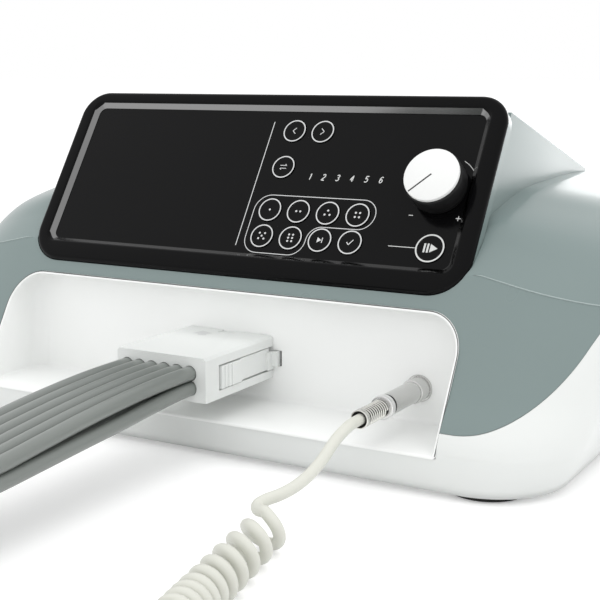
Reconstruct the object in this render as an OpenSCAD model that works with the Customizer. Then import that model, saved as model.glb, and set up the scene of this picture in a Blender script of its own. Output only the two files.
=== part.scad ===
/* [Body] */
// Width across the widest part of the shell
body_w = 395; // [388:1:405]
// How far the rear wall stands behind the panel's lower edge
rear_y = 214; // [205:1:225]
// Wall thickness of the two shells
wall = 3; // [2.6:0.1:3.4]
// Height of the rubber feet below the tray
foot_h = 2.5; // [2:0.5:5]
// Diameter of the rubber feet
foot_d = 35; // [30:1:36]

/* [Panel] */
// Width of the black panel frame
pod_w = 252; // [246:1:256]
// Length of the frame up the slope
pod_l = 103.7; // [101:0.1:106]
// Depth of the fascia below the frame
lip = 2.9; // [2.2:0.1:3.6]
// Diameter of a key cap
key_d = 12.6; // [11:0.2:13]
// Diameter of the start key
start_d = 14.4; // [13:0.2:15.4]
// Spacing of the keys
key_pitch = 16.26; // [15.8:0.1:16.8]
// Travel of a key
key_travel = 0.8; // [0.5:0.1:1]
// Diameter of the knob face
knob_d = 28; // [25:0.5:30]
// Height of the knob above the fascia
knob_h = 14.5; // [12:0.5:17]

/* [Bay] */
// Width of the bay's opening
bay_w = 257; // [252:1:259]
// Height of the bay's top edge
bay_top = 73.8; // [70:0.2:74.6]
// Height of the bay's floor
bay_floor = 19.2; // [17.5:0.2:21]
// Position of the bay's back wall
bay_back = 10; // [6:0.5:13]

/* [Hoses] */
// Outside diameter of a hose
hose_d = 6.8; // [6.2:0.1:7]
// Spacing of the hoses in a ribbon
hose_pitch = 7.1; // [7:0.05:7.3]

/* [Cord] */
// Diameter of the round cord
cord_d = 4.9; // [4.4:0.1:5.1]
// Mean diameter of the curls
curl_mean = 12.8; // [12.2:0.2:13.2]
// Number of curls
curl_n = 31; // [28:1:34]
// Advance of the cord per closed curl
curl_step = 5.6; // [5.5:0.05:5.8]
// Advance of the cord over the first curl, which is drawn open
curl_open = 16.4; // [15:0.2:17]

/* [Hand switch] */
// Length of the hand switch
grip_l = 100; // [90:1:106]
// Width of the hand switch
grip_w = 28; // [26:1:30]
// Travel of its button
grip_travel = 2.5; // [1.5:0.5:3]

/* [Hidden] */
$fn = 48;
gap = 0.3;            // clearance round parts with curved faces
seat = 0.1;           // clearance between parts that sit against each other
run = 0.1;            // radial running fit
flat_x = 132;         // half width of the level middle of the shell
fall = 0.22;          // fall of the shell beyond flat_x
face_tilt = 30;
pod_tilt = 33;
base_z = 2.5;         // underside of the tray above the table, feet included
hw = body_w/2;
y_shift = 51;         // puts the middle of the pump and its hand switch at the origin
function face_y(z) = 2.2 + (z - 82)*tan(face_tilt);

// Shell levels: height, half width, front, rear, corner radius, share of the fall
levels = [
  [base_z, hw - 23, -31, rear_y, 35, 0],
  [19.4, hw - 15, face_y(19.4), rear_y, 38, 0],
  [45, hw - 8.5, face_y(45), rear_y, 42, 0.25],
  [70, hw - 2.5, face_y(70), rear_y, 46, 0.6],
  [91, hw, face_y(91), rear_y, 50, 1],
  [102, hw - 1, 21, rear_y - 1.5, 52, 1],
  [113, hw - 8, 35, rear_y - 8, 54, 1],
  [119.5, hw - 20, 60, rear_y - 17, 44, 1],
  [123.5, hw - 33, 84, rear_y - 27, 32, 1],
  [125.5, hw - 45, 134, rear_y - 38, 20, 1]];
drop = [-wall, 0, 0, 0, 1, 3, 3.4, 3.5, 3.4, 3.2];      // how far each inner level lies below the outer one
inner_levels = [for (i = [0:len(levels) - 1]) let (l = levels[i])
  [l[0] - drop[i]*wall/3, l[1] - wall*1.04, l[2] + (i < 5 ? wall*1.155 : wall*0.8), l[3] - wall, l[4] - wall, l[5]]];

function arc(cx, cy, r, a0, n = 6) = [for (i = [0:n]) [cx + r*cos(a0 + 90*i/n), cy + r*sin(a0 + 90*i/n)]];
function outline(l) = let (w = l[1], f = l[2], b = l[3], r = l[4]) concat(
  [[-flat_x, f], [flat_x, f]], arc(w - r, f + r, r, -90), arc(w - r, b - r, r, 0),
  [[flat_x, b], [-flat_x, b]], arc(r - w, b - r, r, 90), arc(r - w, f + r, r, 180));
function level_points(l) = [for (p = outline(l)) [p[0], p[1], l[0] - fall*l[5]*max(0, abs(p[0]) - flat_x)]];

module loft(ls) {
  n = 32;
  m = len(ls) - 1;
  polyhedron(points = concat([for (l = ls) each level_points(l)], [[0, 90, ls[0][0]]]), faces = concat(
    [for (j = [0:n - 1]) [j, (j + 1)%n, (m + 1)*n]],
    [for (i = [0:m - 1], j = [0:n - 1]) let (k = (j + 1)%n) [i*n + j, (i + 1)*n + j, (i + 1)*n + k]],
    [for (i = [0:m - 1], j = [0:n - 1]) let (k = (j + 1)%n) [i*n + j, (i + 1)*n + k, i*n + k]],
    [[m*n + 17, m*n + 16, m*n + 1, m*n]],
    [[for (j = [16:-1:1]) m*n + j]],
    [[m*n, for (j = [31:-1:17]) m*n + j]]), convexity = 6);
}

module dev() translate([0, y_shift, 0]) children();
module panel() translate([0, 0, 82]) rotate([90 - pod_tilt, 0, 0]) children();
// extrudes a drawing of X and Z along Y, from y0 to y1
module along_y(y0, y1) translate([0, y1, 0]) rotate([90, 0, 0]) linear_extrude(y1 - y0) children();
module box(x0, x1, y0, y1, z0, z1) translate([x0, y0, z0]) cube([x1 - x0, y1 - y0, z1 - z0]);

// The white sweep of the tray, in X and Z
sweep_z0 = 28.3;
sweep_x0 = 135.5;
sweep_rx = 51.4;
sweep_h = 63.8;
function sweep_z(t) = sweep_z0 + sweep_h*(1 - sqrt(1 - t*t));
module sweep2d(g = 0) offset(delta = g) polygon(concat(
  [[-210, -5], [210, -5], [210, 106], [200, 106]],
  [for (i = [12:-1:0]) [sweep_x0 + sweep_rx*0.9*i/12, sweep_z(0.9*i/12)]],
  [for (i = [0:12]) [-sweep_x0 - sweep_rx*0.9*i/12, sweep_z(0.9*i/12)]],
  [[-200, 106], [-210, 106]]));

// The bay
bay_r = 16.5;
liner = 2;
module bay2d(g = 0) offset(delta = g) hull() {
  for (s = [-1, 1]) translate([s*(bay_w/2 - bay_r), bay_top - bay_r]) circle(bay_r, $fn = 40);
  translate([-bay_w/2, bay_floor]) square([bay_w, 5]);
}
module bay_plan2d(g = 0) offset(delta = g) hull() {
  for (s = [-1, 1]) translate([s*(bay_w/2 - 8), bay_back - 8]) circle(8, $fn = 32);
  translate([-bay_w/2, -60]) square([bay_w, 1]);
}
module bay_space(g = 0) intersection() {
  along_y(-60, bay_back + g) bay2d(g);
  translate([0, 0, bay_floor - 10]) linear_extrude(bay_top - bay_floor + 20) bay_plan2d(g);
}

// The panel frame
pod_depth = 8;
win_u = 115;
win_v0 = 13.5;
win_v1 = pod_l - 9.7;
win_r = 4;
module pod2d(g = 0) offset(delta = g) hull() {
  for (s = [-1, 1]) {
    translate([s*(pod_w/2 - 15), pod_l - 15]) circle(15, $fn = 40);
    translate([s*(pod_w/2 - 19), 19]) circle(19, $fn = 40);
  }
}
module win2d(g = 0) hull() for (s = [-1, 1], v = [win_v0 + win_r, win_v1 - win_r])
  translate([s*(win_u - win_r), v]) circle(win_r + g, $fn = 24);

// Keys: column, row up the slope, diameter
col0 = 13.8;
rows = [23.3, 37.8, 61.9, 82.7];
function col(i) = col0 + key_pitch*i;
key_names = ["key_back", "key_forward", "key_reverse", "key_mode_a", "key_mode_b", "key_mode_c", "key_mode_d",
  "key_mode_e", "key_mode_f", "key_skip", "key_confirm", "key_start"];
key_at = [[col(0), rows[3]], [col(1), rows[3]], [col(0), rows[2]], [col(0), rows[1]], [col(1), rows[1]], [col(2), rows[1]],
  [col(3), rows[1]], [col(0), rows[0]], [col(1), rows[0]], [col(2), rows[0]], [col(3), rows[0]], [103.7, 23.4]];
key_gap = 0.3;
function cap_d(i) = i == 11 ? start_d : key_d;
fascia_top = -lip;
fascia_t = 2.1;
fascia_back = fascia_top - 0.05 - fascia_t;
knob_at = [101.4, 54];
pot_d = 17;
board_top = fascia_back - 5.6;
board_t = 1.6;
switch_h = 2.6;

module key(i) color("black") dev() panel() translate([key_at[i][0], key_at[i][1], 0]) {
  translate([0, 0, fascia_back - 0.06 - 1]) cylinder(d = cap_d(i) + 1.6, h = 1);
  translate([0, 0, fascia_back - 0.16]) cylinder(d = cap_d(i), h = fascia_t + 0.3);
  translate([0, 0, fascia_back + fascia_t + 0.14]) cylinder(d1 = cap_d(i), d2 = cap_d(i) - 1.2, h = 0.5);
  translate([0, 0, board_top + switch_h + key_travel + 0.1]) cylinder(d = 3, h = fascia_back - 1 - board_top - switch_h - key_travel - 0.1, $fn = 24);
}

module key_back() key(0);
module key_forward() key(1);
module key_reverse() key(2);
module key_mode_a() key(3);
module key_mode_b() key(4);
module key_mode_c() key(5);
module key_mode_d() key(6);
module key_mode_e() key(7);
module key_mode_f() key(8);
module key_skip() key(9);
module key_confirm() key(10);
module key_start() key(11);

module panel_bezel() color("black") dev() panel() difference() {
  hull() {
    translate([0, 0, -pod_depth]) linear_extrude(pod_depth - 3) pod2d(0);
    translate([0, 0, -1.2]) linear_extrude(0.3) pod2d(-0.9);
    translate([0, 0, -0.2]) linear_extrude(0.2) pod2d(-3);
  }
  translate([0, 0, -20]) linear_extrude(30) win2d(0);
  hull() {
    translate([0, 0, -1.6]) linear_extrude(0.1) win2d(0);
    translate([0, 0, 0.2]) linear_extrude(0.1) win2d(1.5);
  }
  translate([0, 0, -pod_depth - 1]) linear_extrude(pod_depth + 1 - lip) win2d(3 + gap);
}

module fascia() color("black") dev() panel() translate([0, 0, fascia_back]) difference() {
  linear_extrude(fascia_t) win2d(3);
  for (i = [0:11]) translate([key_at[i][0], key_at[i][1], -1]) cylinder(d = cap_d(i) + 2*key_gap, h = fascia_t + 2);
  translate([knob_at[0], knob_at[1], -1]) cylinder(d = 10, h = fascia_t + 2);
}

// The knob stands on the shaft of the pressure control and clears the fascia
skirt_d = knob_d + 1.6;
knob_foot = fascia_top + 0.6;
knob_top = fascia_top + knob_h;
shaft_d = 6;
module knob_skirt() color("black") dev() panel() translate([knob_at[0], knob_at[1], 0]) difference() {
  union() {
    translate([0, 0, knob_foot]) cylinder(d = 26, h = 3);
    translate([0, 0, 0.5]) cylinder(d = skirt_d, h = knob_foot + knob_h - 3.1);
    translate([0, 0, knob_foot + knob_h - 2.6]) cylinder(d1 = skirt_d, d2 = knob_d, h = 0.8);
    translate([0, 0, board_top - board_t - 6]) cylinder(d = shaft_d, h = knob_foot + 2 - board_top + board_t + 6);
    translate([0, 0, board_top - board_t - 7.6]) cylinder(d = 11, h = 1.6);
  }
  translate([0, 0, knob_foot - 1]) difference() {
    cylinder(d = 22, h = 5);
    translate([0, 0, -1]) cylinder(d = shaft_d, h = 7);
  }
}
// the face carries a groove as its pointer, at the low end of the stroke
module knob_cap() color("white") dev() panel() translate([knob_at[0], knob_at[1], 0]) difference() {
  union() {
    translate([0, 0, knob_foot + knob_h - 1.8]) cylinder(d = knob_d, h = knob_top - knob_foot - knob_h + 1.4);
    translate([0, 0, knob_top - 0.4]) cylinder(d1 = knob_d, d2 = knob_d - 0.8, h = 0.4);
  }
  rotate(226) translate([0, -0.5, knob_top - 0.3]) cube([knob_d, 1, 1]);
}
module pressure_control() color("silver") dev() panel() translate([knob_at[0], knob_at[1], board_top - board_t - 11]) difference() {
  union() {
    cylinder(d = pot_d, h = 11 - seat);
    translate([0, 0, 10.8]) cylinder(d = 8.6, h = 4.4);
  }
  translate([0, 0, 3]) cylinder(d = 12, h = 2.2);
  translate([0, 0, 4]) cylinder(d = shaft_d + 2*run, h = 14);
}
module key_board() color("green") dev() panel() {
  difference() {
    translate([5, 13, board_top - board_t]) cube([111, 80, board_t]);
    translate([knob_at[0], knob_at[1], board_top - 4]) cylinder(d = 9.2, h = 8);
  }
  for (i = [0:11]) translate([key_at[i][0], key_at[i][1], board_top]) {
    translate([-3, -3, 0]) cube([6, 6, switch_h - 0.8]);
    cylinder(d = 3.4, h = switch_h, $fn = 24);
  }
  for (i = [0:5]) translate([30.2 + 7.85*i, 66, board_top]) cylinder(d = 3, h = 4.6, $fn = 24);
}
// The grey housing behind the panel
hous_u = pod_w/2 - 2;
hous_t = 2.5;
function on_panel(v, w) = [v*sin(pod_tilt) - w*cos(pod_tilt), 82 + v*cos(pod_tilt) + w*sin(pod_tilt)];
hous_z1 = 126.3;
module housing2d() polygon([on_panel(2, -pod_depth - seat), on_panel(pod_l - 4.7, -pod_depth - seat), [rear_y - 33, hous_z1], [rear_y - 33, 112], [30, 72]]);
module along_x(x0, x1) translate([x0, 0, 0]) rotate([90, 0, 90]) linear_extrude(x1 - x0) children();
module display_housing() color("lightsteelblue") dev() difference() {
  hull() {
    along_x(-hous_u, hous_u) offset(delta = -1.2) housing2d();
    along_x(1.2 - hous_u, hous_u - 1.2) housing2d();
  }
  along_x(hous_t - hous_u, hous_u - hous_t) { offset(delta = -hous_t) housing2d(); translate([-7, 0]) offset(delta = -hous_t) housing2d(); }
  loft(levels);
}

module upper_shell() color("lightsteelblue") dev() difference() {
  loft(levels);
  loft(inner_levels);
  along_y(-60, 260) sweep2d(0.2);
  bay_space(liner + seat);
  panel() translate([0, 0, -pod_depth - 0.05]) linear_extrude(60) pod2d(0.2);
  panel() translate([0, 0, -60]) linear_extrude(60) win2d(2);
  rear_cuts();
}
module base_tray() color("white") dev() {
  difference() {
    intersection() {
      difference() { loft(levels); loft(inner_levels); }
      along_y(-60, 260) sweep2d(0);
    }
    bay_space(liner + seat);
    rear_cuts();
    for (p = case_at) translate([p[0], p[1], -1]) cylinder(d = 4.6, h = 12, $fn = 24);
    for (p = feet_at) translate([p[0], p[1], -1]) cylinder(d = 3.4, h = 14, $fn = 24);
  }
  for (p = feet_at) translate([p[0], p[1], base_z + wall - 0.5]) difference() {
    cylinder(d = 9, h = 6);
    translate([0, 0, -3]) cylinder(d = 3.4, h = 12, $fn = 24);
  }
  for (p = case_at) translate([p[0], p[1], base_z + wall - 0.5]) difference() {
    union() {
      cylinder(d = 12, h = plate_z - base_z - wall + 0.5);
      cylinder(d = 9, h = plate_z - base_z - wall + 14);
    }
    translate([0, 0, -1]) cylinder(d = 3.4, h = 17, $fn = 24);
  }
}

module bay_insert() color("white") dev() difference() {
  intersection() {
    bay_space(liner);
    along_x(-160, 160) polygon([[face_y(5) - 1, 5], [face_y(100) - 1, 100], [60, 100], [60, 5]]);
  }
  bay_space(0);
  box(conn_x - snout_w/2 - seat, conn_x + snout_w/2 + seat, 0, 30, row_mid - snout_h/2 - seat, row_mid + snout_h/2 + seat);
  for (s = [-1, 1]) translate([conn_x + s*conn_latch, 0, row_mid - 4]) box(-1.6, 1.6, bay_back - 1, 30, 0, 8);
  translate([jack_x, 0, jack_z]) rotate([-90, 0, 0]) cylinder(d = 12 + 2*seat, h = 30);
}

// Feet and screws
feet_at = [[-144.5, -10.5], [144.5, -10.5], [-146, 178], [146, 178]];
module rubber_feet() color("black") dev() for (p = feet_at) translate([p[0], p[1], 0]) difference() {
  union() {
    cylinder(d = foot_d - 2, h = 0.5);
    translate([0, 0, 0.4]) cylinder(d = foot_d, h = foot_h - 0.4);
  }
  translate([0, 0, -1]) cylinder(d = 7, h = 2.4);
  cylinder(d = 3.4, h = 10, $fn = 24);
}
module screws() color("silver") dev() {
  for (p = feet_at) translate([p[0], p[1], 0]) difference() {
    union() {
      translate([0, 0, 0.4]) cylinder(d = 6, h = 1);
      translate([0, 0, 1]) cylinder(d = 3, h = base_z + wall + 4, $fn = 24);
    }
    box(-0.5, 0.5, -2, 2, 0, 0.9);
  }
  for (p = case_at) translate([p[0], p[1], 0]) {
    translate([0, 0, base_z + 0.4]) cylinder(d = 4.2, h = 1.2, $fn = 24);
    translate([0, 0, base_z + 1.5]) cylinder(d = 3, h = 15, $fn = 24);
  }
}
case_at = [[-110, 20], [110, 20], [-110, 190], [110, 190], [0, 190]];

// Hose connector: the block, its latches and the manifold it plugs on
conn_x = -2;
conn_w = 50;
conn_z0 = 31;
conn_z1 = 52;
conn_front = -49;
row_mid = 40.8;
ribbon_x = -3.5;
row_gap = hose_d + 0.1;
ribbon_w = 5*hose_pitch + hose_d;
snout_w = 34;
snout_h = 12;
snout_front = -18;
conn_latch = 26;
pivot_y = -16;
latch_ang = 6;
hose_in = 8;

module ribbon2d(g = 0) for (i = [0:5]) translate([(i - 2.5)*hose_pitch, 0]) circle(d = hose_d + 2*g, $fn = 24);
module hose_recess2d() for (t = [-1, 1]) translate([ribbon_x, row_mid + t*row_gap/2]) {
  ribbon2d(0.25);
  square([5*hose_pitch + 4.4, 4.6], center = true);
}

module connector_block() difference() {
  hull() {
    along_y(conn_front, bay_back - 0.2) translate([conn_x - conn_w/2, conn_z0]) square([conn_w, conn_z1 - conn_z0 - 1.2]);
    along_y(conn_front, bay_back - 0.2) translate([conn_x - conn_w/2 + 1.2, conn_z0]) square([conn_w - 2.4, conn_z1 - conn_z0]);
  }
  along_y(conn_front - 1, conn_front + hose_in) hose_recess2d();
  for (i = [0:5], t = [-1, 1]) translate([ribbon_x + (i - 2.5)*hose_pitch, 0, row_mid + t*row_gap/2])
    rotate([90, 0, 0]) translate([0, 0, -snout_front - 1]) cylinder(d = 4.2, h = 26, $fn = 16);
  box(conn_x - snout_w/2 - seat, conn_x + snout_w/2 + seat, snout_front - 0.4, bay_back + 1, row_mid - snout_h/2 - seat, row_mid + snout_h/2 + seat);
  for (s = [-1, 1]) translate([conn_x, 0, 0]) mirror([s < 0 ? 1 : 0, 0, 0]) {
    box(conn_w/2 - 4.2, conn_w/2 + 1, conn_front + 11, bay_back + 1, row_mid - 6, row_mid + 6);
    box(conn_w/2 - 6.6, conn_w/2 + 1, conn_front + 11, pivot_y - 2, row_mid - 6, row_mid + 6);
    box(snout_w/2 - 1, conn_w/2, -1, 4.6, row_mid - 6, row_mid + 6);
  }
  box(conn_x - 4, conn_x + 4, bay_back - 6, bay_back + 1, conn_z1 - 0.8, conn_z1 + 1);
}
// the connector with the two pins that its latches turn on
module hose_connector() color("white") dev() {
  connector_block();
  for (s = [-1, 1]) translate([conn_x + s*(conn_w/2 - 2.2), pivot_y, row_mid - 6.5]) cylinder(d = 1.4, h = 13, $fn = 24);
}
module latch(s) color("white") dev() translate([conn_x, 0, row_mid]) mirror([s < 0 ? 1 : 0, 0, 0]) {
  difference() {
    union() {
      box(conn_w/2 - 3.8, conn_w/2 - 0.6, conn_front + 12, 7, -5.4, 5.4);
      box(conn_w/2 - 0.8, conn_w/2 + 1, conn_front + 12, pivot_y - 4, -5.4, 5.4);
      box(snout_w/2 - 1, conn_w/2 - 3, 0, 3, -5.4, 5.4);
      box(conn_w/2 - 3.8, conn_w/2 + 0.9, 4, 9.4, -5.4, 3.5);
    }
    translate([conn_w/2 - 2.2, pivot_y, -7]) cylinder(d = 1.6, h = 14, $fn = 24);
    for (k = [0:2]) box(conn_w/2 + 0.5, conn_w/2 + 2, conn_front + 14 + 3*k, conn_front + 15 + 3*k, -6, 6);
  }
}
module latch_left() latch(-1);
module latch_right() latch(1);
module hose_manifold() color("dimgray") dev() difference() {
  union() {
    box(conn_x - snout_w/2, conn_x + snout_w/2, snout_front, bay_back + 6, row_mid - snout_h/2, row_mid + snout_h/2);
    box(conn_x - 30, conn_x + 30, bay_back + liner + 0.1, bay_back + 14, row_mid - 9, row_mid + 9);
  }
  for (s = [-1, 1]) translate([conn_x, 0, row_mid]) mirror([s < 0 ? 1 : 0, 0, 0]) box(snout_w/2 - 1.4, snout_w/2 + 1, -0.4, 3.4, -7, 7);
  for (i = [0:5], t = [-1, 1]) translate([conn_x + (i - 2.5)*5.4, bay_back + 20, row_mid + t*3])
    rotate([90, 0, 0]) cylinder(d = 3.2, h = 60, $fn = 16);
}

// Socket and plug of the hand switch, on an axis along Y
jack_x = 102;
jack_z = 35.5;
module jack() translate([jack_x, 0, jack_z]) rotate([90, 0, 0]) children();
module cord_socket() color("black") dev() jack() difference() {
  union() {
    translate([0, 0, -bay_back - 16]) cylinder(d = 12, h = 16.2);
    translate([0, 0, -bay_back + 0.05]) cylinder(d = 13.6, h = 0.8);
    translate([0, 0, -bay_back - liner - 3.1]) cylinder(d = 16, h = 3);
  }
  translate([0, 0, -bay_back - 14]) cylinder(d = 6.4, h = 30);
}
plug_end = 52;
module cord_plug() color("silver") dev() jack() {
  translate([0, 0, -bay_back - 12]) cylinder(d = 6, h = 14.2);
  translate([0, 0, -bay_back + 0.95]) cylinder(d = 12, h = bay_back - 5.4);
  translate([0, 0, -4.6]) cylinder(d = 10.2, h = 28.7);
  translate([0, 0, 24]) cylinder(d1 = 10.2, d2 = 9, h = 2);
  translate([0, 0, 26]) cylinder(d = 10.8, h = 3.6);
  translate([0, 0, 29.5]) cylinder(d = 8.6, h = 1.4);
}
module plug_sleeve() color("dimgray") dev() jack() difference() {
  translate([0, 0, 44.4]) union() {
    cylinder(d = 8.4, h = 3);
    translate([0, 0, 2.9]) cylinder(d1 = 8.4, d2 = 6.8, h = plug_end - 47.3);
  }
  translate([0, 0, 40]) cylinder(d = cord_d + 0.2, h = 20);
}

// A tube of n sides swept along rings given as [centre, normal, binormal]
module skin_tube(rings, shape) {
  n = len(shape);
  m = len(rings) - 1;
  polyhedron(points = [for (r = rings, s = shape) r[0] + r[1]*s[0] + r[2]*s[1]], faces = concat(
    [[for (j = [0:n - 1]) j]],
    [for (i = [0:m - 1], j = [0:n - 1]) let (k = (j + 1)%n) [i*n + j, (i + 1)*n + j, (i + 1)*n + k]],
    [for (i = [0:m - 1], j = [0:n - 1]) let (k = (j + 1)%n) [i*n + j, (i + 1)*n + k, i*n + k]],
    [[for (j = [n - 1:-1:0]) m*n + j]]), convexity = 10);
}
function unit(v) = v/norm(v);
function ngon(r, n) = [for (j = [0:n - 1]) [r*cos(360*j/n + 180/n), r*sin(360*j/n + 180/n)]];
// rings along a run of points, level across
function rings_of(p) = [for (i = [0:len(p) - 1]) let (
    t = unit(p[min(i + 1, len(p) - 1)] - p[max(i - 1, 0)]), b = unit(cross(t, [0, 0, 1])), c = cross(t, b)) [p[i], b, c]];

spring_wire = 0.9;
spring_mean = 7.1;
spring_n = 9;
spring_step = 1.38;
spring_y = 31;
function spring_at(a) = [jack_x + spring_mean/2*cos(a), -spring_y - spring_wire/2 - spring_step*a/360, jack_z + spring_mean/2*sin(a)];
module plug_spring() color("silver") dev() skin_tube(
  [for (i = [0:8*spring_n]) let (a = 45*i, t = unit([-sin(a), -spring_step/(PI*spring_mean), cos(a)]), b = [cos(a), 0, sin(a)]) [spring_at(a), b, cross(t, b)]],
  ngon(spring_wire/2, 6));

// The straight cord, from the plug down to the curls on the table
coil_z = curl_mean/2 + cord_d/2 + 0.15;
coil_axis = [96.36, -110.4, coil_z];
coil_dir = unit([0.1977, -0.9803, 0]);
coil_side = [coil_dir[1], -coil_dir[0], 0];
curl_fade = 0.73;          // how fast the open curls close, mm per curl squared
curl_shut = (curl_open - curl_step)/2/curl_fade;
curl_lean = 7.4;           // the open curls lean over along the cord, the closed ones stand upright
function ease(t) = let (u = min(1, max(0, t))) u*u*(3 - 2*u);
function curl_way(n) = n < curl_shut ? curl_open*n - curl_fade*n*n : curl_open*curl_shut - curl_fade*curl_shut*curl_shut + curl_step*(n - curl_shut);
function curl_r(n) = curl_mean/2*ease((curl_n - n)/0.9);
function curl_at(n) = coil_axis + coil_dir*(curl_way(n) + curl_lean*max(0, 1 - n/curl_shut)*cos(360*n - 131.2)) + (coil_side*cos(360*n) + [0, 0, 1]*sin(360*n))*curl_r(n);
curl_n0 = 0.3;
coil_start = curl_at(curl_n0);
coil_in = unit(curl_at(curl_n0 + 0.02) - coil_start);
lead_points = [[jack_x, -30.9, jack_z], [jack_x, -42, jack_z], [jack_x, -52, jack_z], [102, -61, 34.9], [101.4, -71, 31.5], [101.5, -82, 26.5],
  [100.5, -90, 22.8], [99.4, -96, 20.7], [97.8, -101.5, 19.2], [95.6, -106.5, 18.1], [92.9, -110.6, 17.2], [91.3, -114.2, 16], [93.2, -117.4, 15.4],
  coil_start - coil_in*3, coil_start - coil_in*0.05];
module cord_lead() color("beige") dev() skin_tube(rings_of(lead_points), ngon(cord_d/2, 12));

// One unbroken helix whose radius falls back to its axis at the far end
coil_end = coil_axis + coil_dir*(curl_way(curl_n) + cord_d);
module cord_curls() color("beige") dev() skin_tube(concat(
    [for (i = [0:8*curl_n - 3]) let (n = i == 0 ? curl_n0 : (i + 3)/8, t = unit(curl_at(min(curl_n, n + 0.02)) - curl_at(n - 0.02)),
      o = unit(coil_side*cos(360*n) + [0, 0, 1]*sin(360*n)), b = unit(o - t*(o*t))) [curl_at(n), b, cross(t, b)]],
    [[coil_end, coil_side, cross(coil_dir, coil_side)]]), ngon(cord_d/2, 6));
least_curl = min([for (i = [0:3:288]) for (j = [i + 14:i + 36]) norm(curl_at(curl_n0 + j/24) - curl_at(curl_n0 + i/24))]);
echo(least_gap_curls = least_curl - cord_d, least_gap_spring = spring_step - spring_wire);

// The hand switch lies on the table beside the curls
grip_x = 176;
grip_y0 = -306;
grip_h = 22;
grip_z = grip_h/2 + 0.1;
grip_y1 = grip_y0 + grip_l;
tail_points = [coil_end + coil_dir*0.05, [coil_end[0] + 2.2, coil_end[1] - 9, coil_z], [coil_end[0] + 7.5, coil_end[1] - 18, coil_z], [coil_end[0] + 17, coil_end[1] - 23.5, 10],
  [grip_x - 14, coil_end[1] - 23, 10.6], [grip_x - 4.5, coil_end[1] - 17, grip_z - 0.4], [grip_x - 0.4, coil_end[1] - 8, grip_z], [grip_x, grip_y0 - 13, grip_z], [grip_x, grip_y0 + 6, grip_z]];
module cord_tail() color("beige") dev() skin_tube(rings_of(tail_points), ngon(cord_d/2, 12));
module grip2d(g = 0) offset(r = 8 + g) square([grip_w - 16, grip_h - 16], center = true);
module grip_body() difference() {
  hull() {
    along_y(grip_y0 + 3, grip_y1 - 3) grip2d(0);
    along_y(grip_y0, grip_y1) grip2d(-3);
  }
  along_y(grip_y0 + 2, grip_y1 - 2.5) grip2d(-2);
  along_y(grip_y1 - 4, grip_y1 + 1) circle(d = 12 + 2*gap);
  along_y(grip_y0 - 1, grip_y0 + 4) circle(d = 9.2);
}
module at_grip() dev() translate([grip_x, 0, grip_z]) children();
module grip_top() color("white") at_grip() intersection() {
  grip_body();
  box(-40, 40, grip_y0 - 1, grip_y1 + 1, 0.1, 40);
}
module grip_bottom() color("white") at_grip() {
  intersection() {
    grip_body();
    box(-40, 40, grip_y0 - 1, grip_y1 + 1, -40, 0);
  }
  for (y = [grip_y0 + 20, grip_y1 - 40]) translate([0, y, -grip_h/2 + 1.9]) cylinder(d = 5, h = grip_h/2 - 2.6, $fn = 24);
  // ribs under the switch and a stop behind it
  for (x = [-4.5, 3]) box(x, x + 1.5, grip_y1 - 30, grip_y1 - 12, -grip_h/2 + 1.9, -6);
  box(-6, 6, grip_y1 - 8 - grip_travel - 14.05, grip_y1 - 8 - grip_travel - 12.05, -grip_h/2 + 1.9, -0.2);
}
module grip_button() color("red") at_grip() {
  along_y(grip_y1 - 5.4, grip_y1 - 2.7) circle(d = 15);
  along_y(grip_y1 - 2.8, grip_y1 + grip_travel + 0.4) circle(d = 12);
  along_y(grip_y1 - 7.4, grip_y1 - 5.3) circle(d = 6);
}
module grip_switch() color("dimgray") at_grip() {
  along_y(grip_y1 - 8 - grip_travel - 12, grip_y1 - 8 - grip_travel) square([13, 12], center = true);
  along_y(grip_y1 - 8 - grip_travel - 0.1, grip_y1 - 7.7 - grip_travel) circle(d = 4, $fn = 24);
}
module grip_relief() color("black") at_grip() difference() {
  union() {
    along_y(grip_y0 - 1.4, grip_y0 + 2.1) circle(d = 9);
    translate([0, grip_y0 - 1.3, 0]) rotate([90, 0, 0]) cylinder(d1 = 9, d2 = 7, h = 10.7);
    along_y(grip_y0 + 2, grip_y0 + 3.6) circle(d = 12);
  }
  along_y(grip_y0 - 14, grip_y0 + 5) circle(d = cord_d + 0.2);
  for (k = [0:2]) along_y(grip_y0 - 4 - 3*k, grip_y0 - 3 - 3*k) difference() {
    circle(d = 12);
    circle(d = 6.6);
  }
}

// The two hose ribbons: straight and flat, then turned on edge to a roll on the table
roll_z = ribbon_w/2 + 1.3;
roll_x = -3.5;            // where the ribbons run into the roll
roll_y = -300;
roll_s = 56;
step = 8.2;
// y, height, turn, how far the two ribbons sag apart
run_points = [[conn_front + hose_in - 0.3, row_mid, 0], [-60, row_mid - 0.1, 0, 0.5], [-80, row_mid - 0.9, 0, 1.5], [-102, row_mid - 2.4, 0, 2.2], [-125, row_mid - 4.2, 0, 1.8],
  [-150, row_mid - 6.6, 0, 0.9], [-172, row_mid - 9, 1], [-186, row_mid - 10.8, 6], [-198, row_mid - 12.4, 15], [-209, row_mid - 13.6, 27], [-220, row_mid - 14.8, 41], [-231, row_mid - 16, 56],
  [-243, row_mid - 17, 70], [-256, row_mid - 17.9, 81], [-272, roll_z + 0.1, 88], [-286, roll_z, 90], [roll_y, roll_z, 90]];
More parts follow.
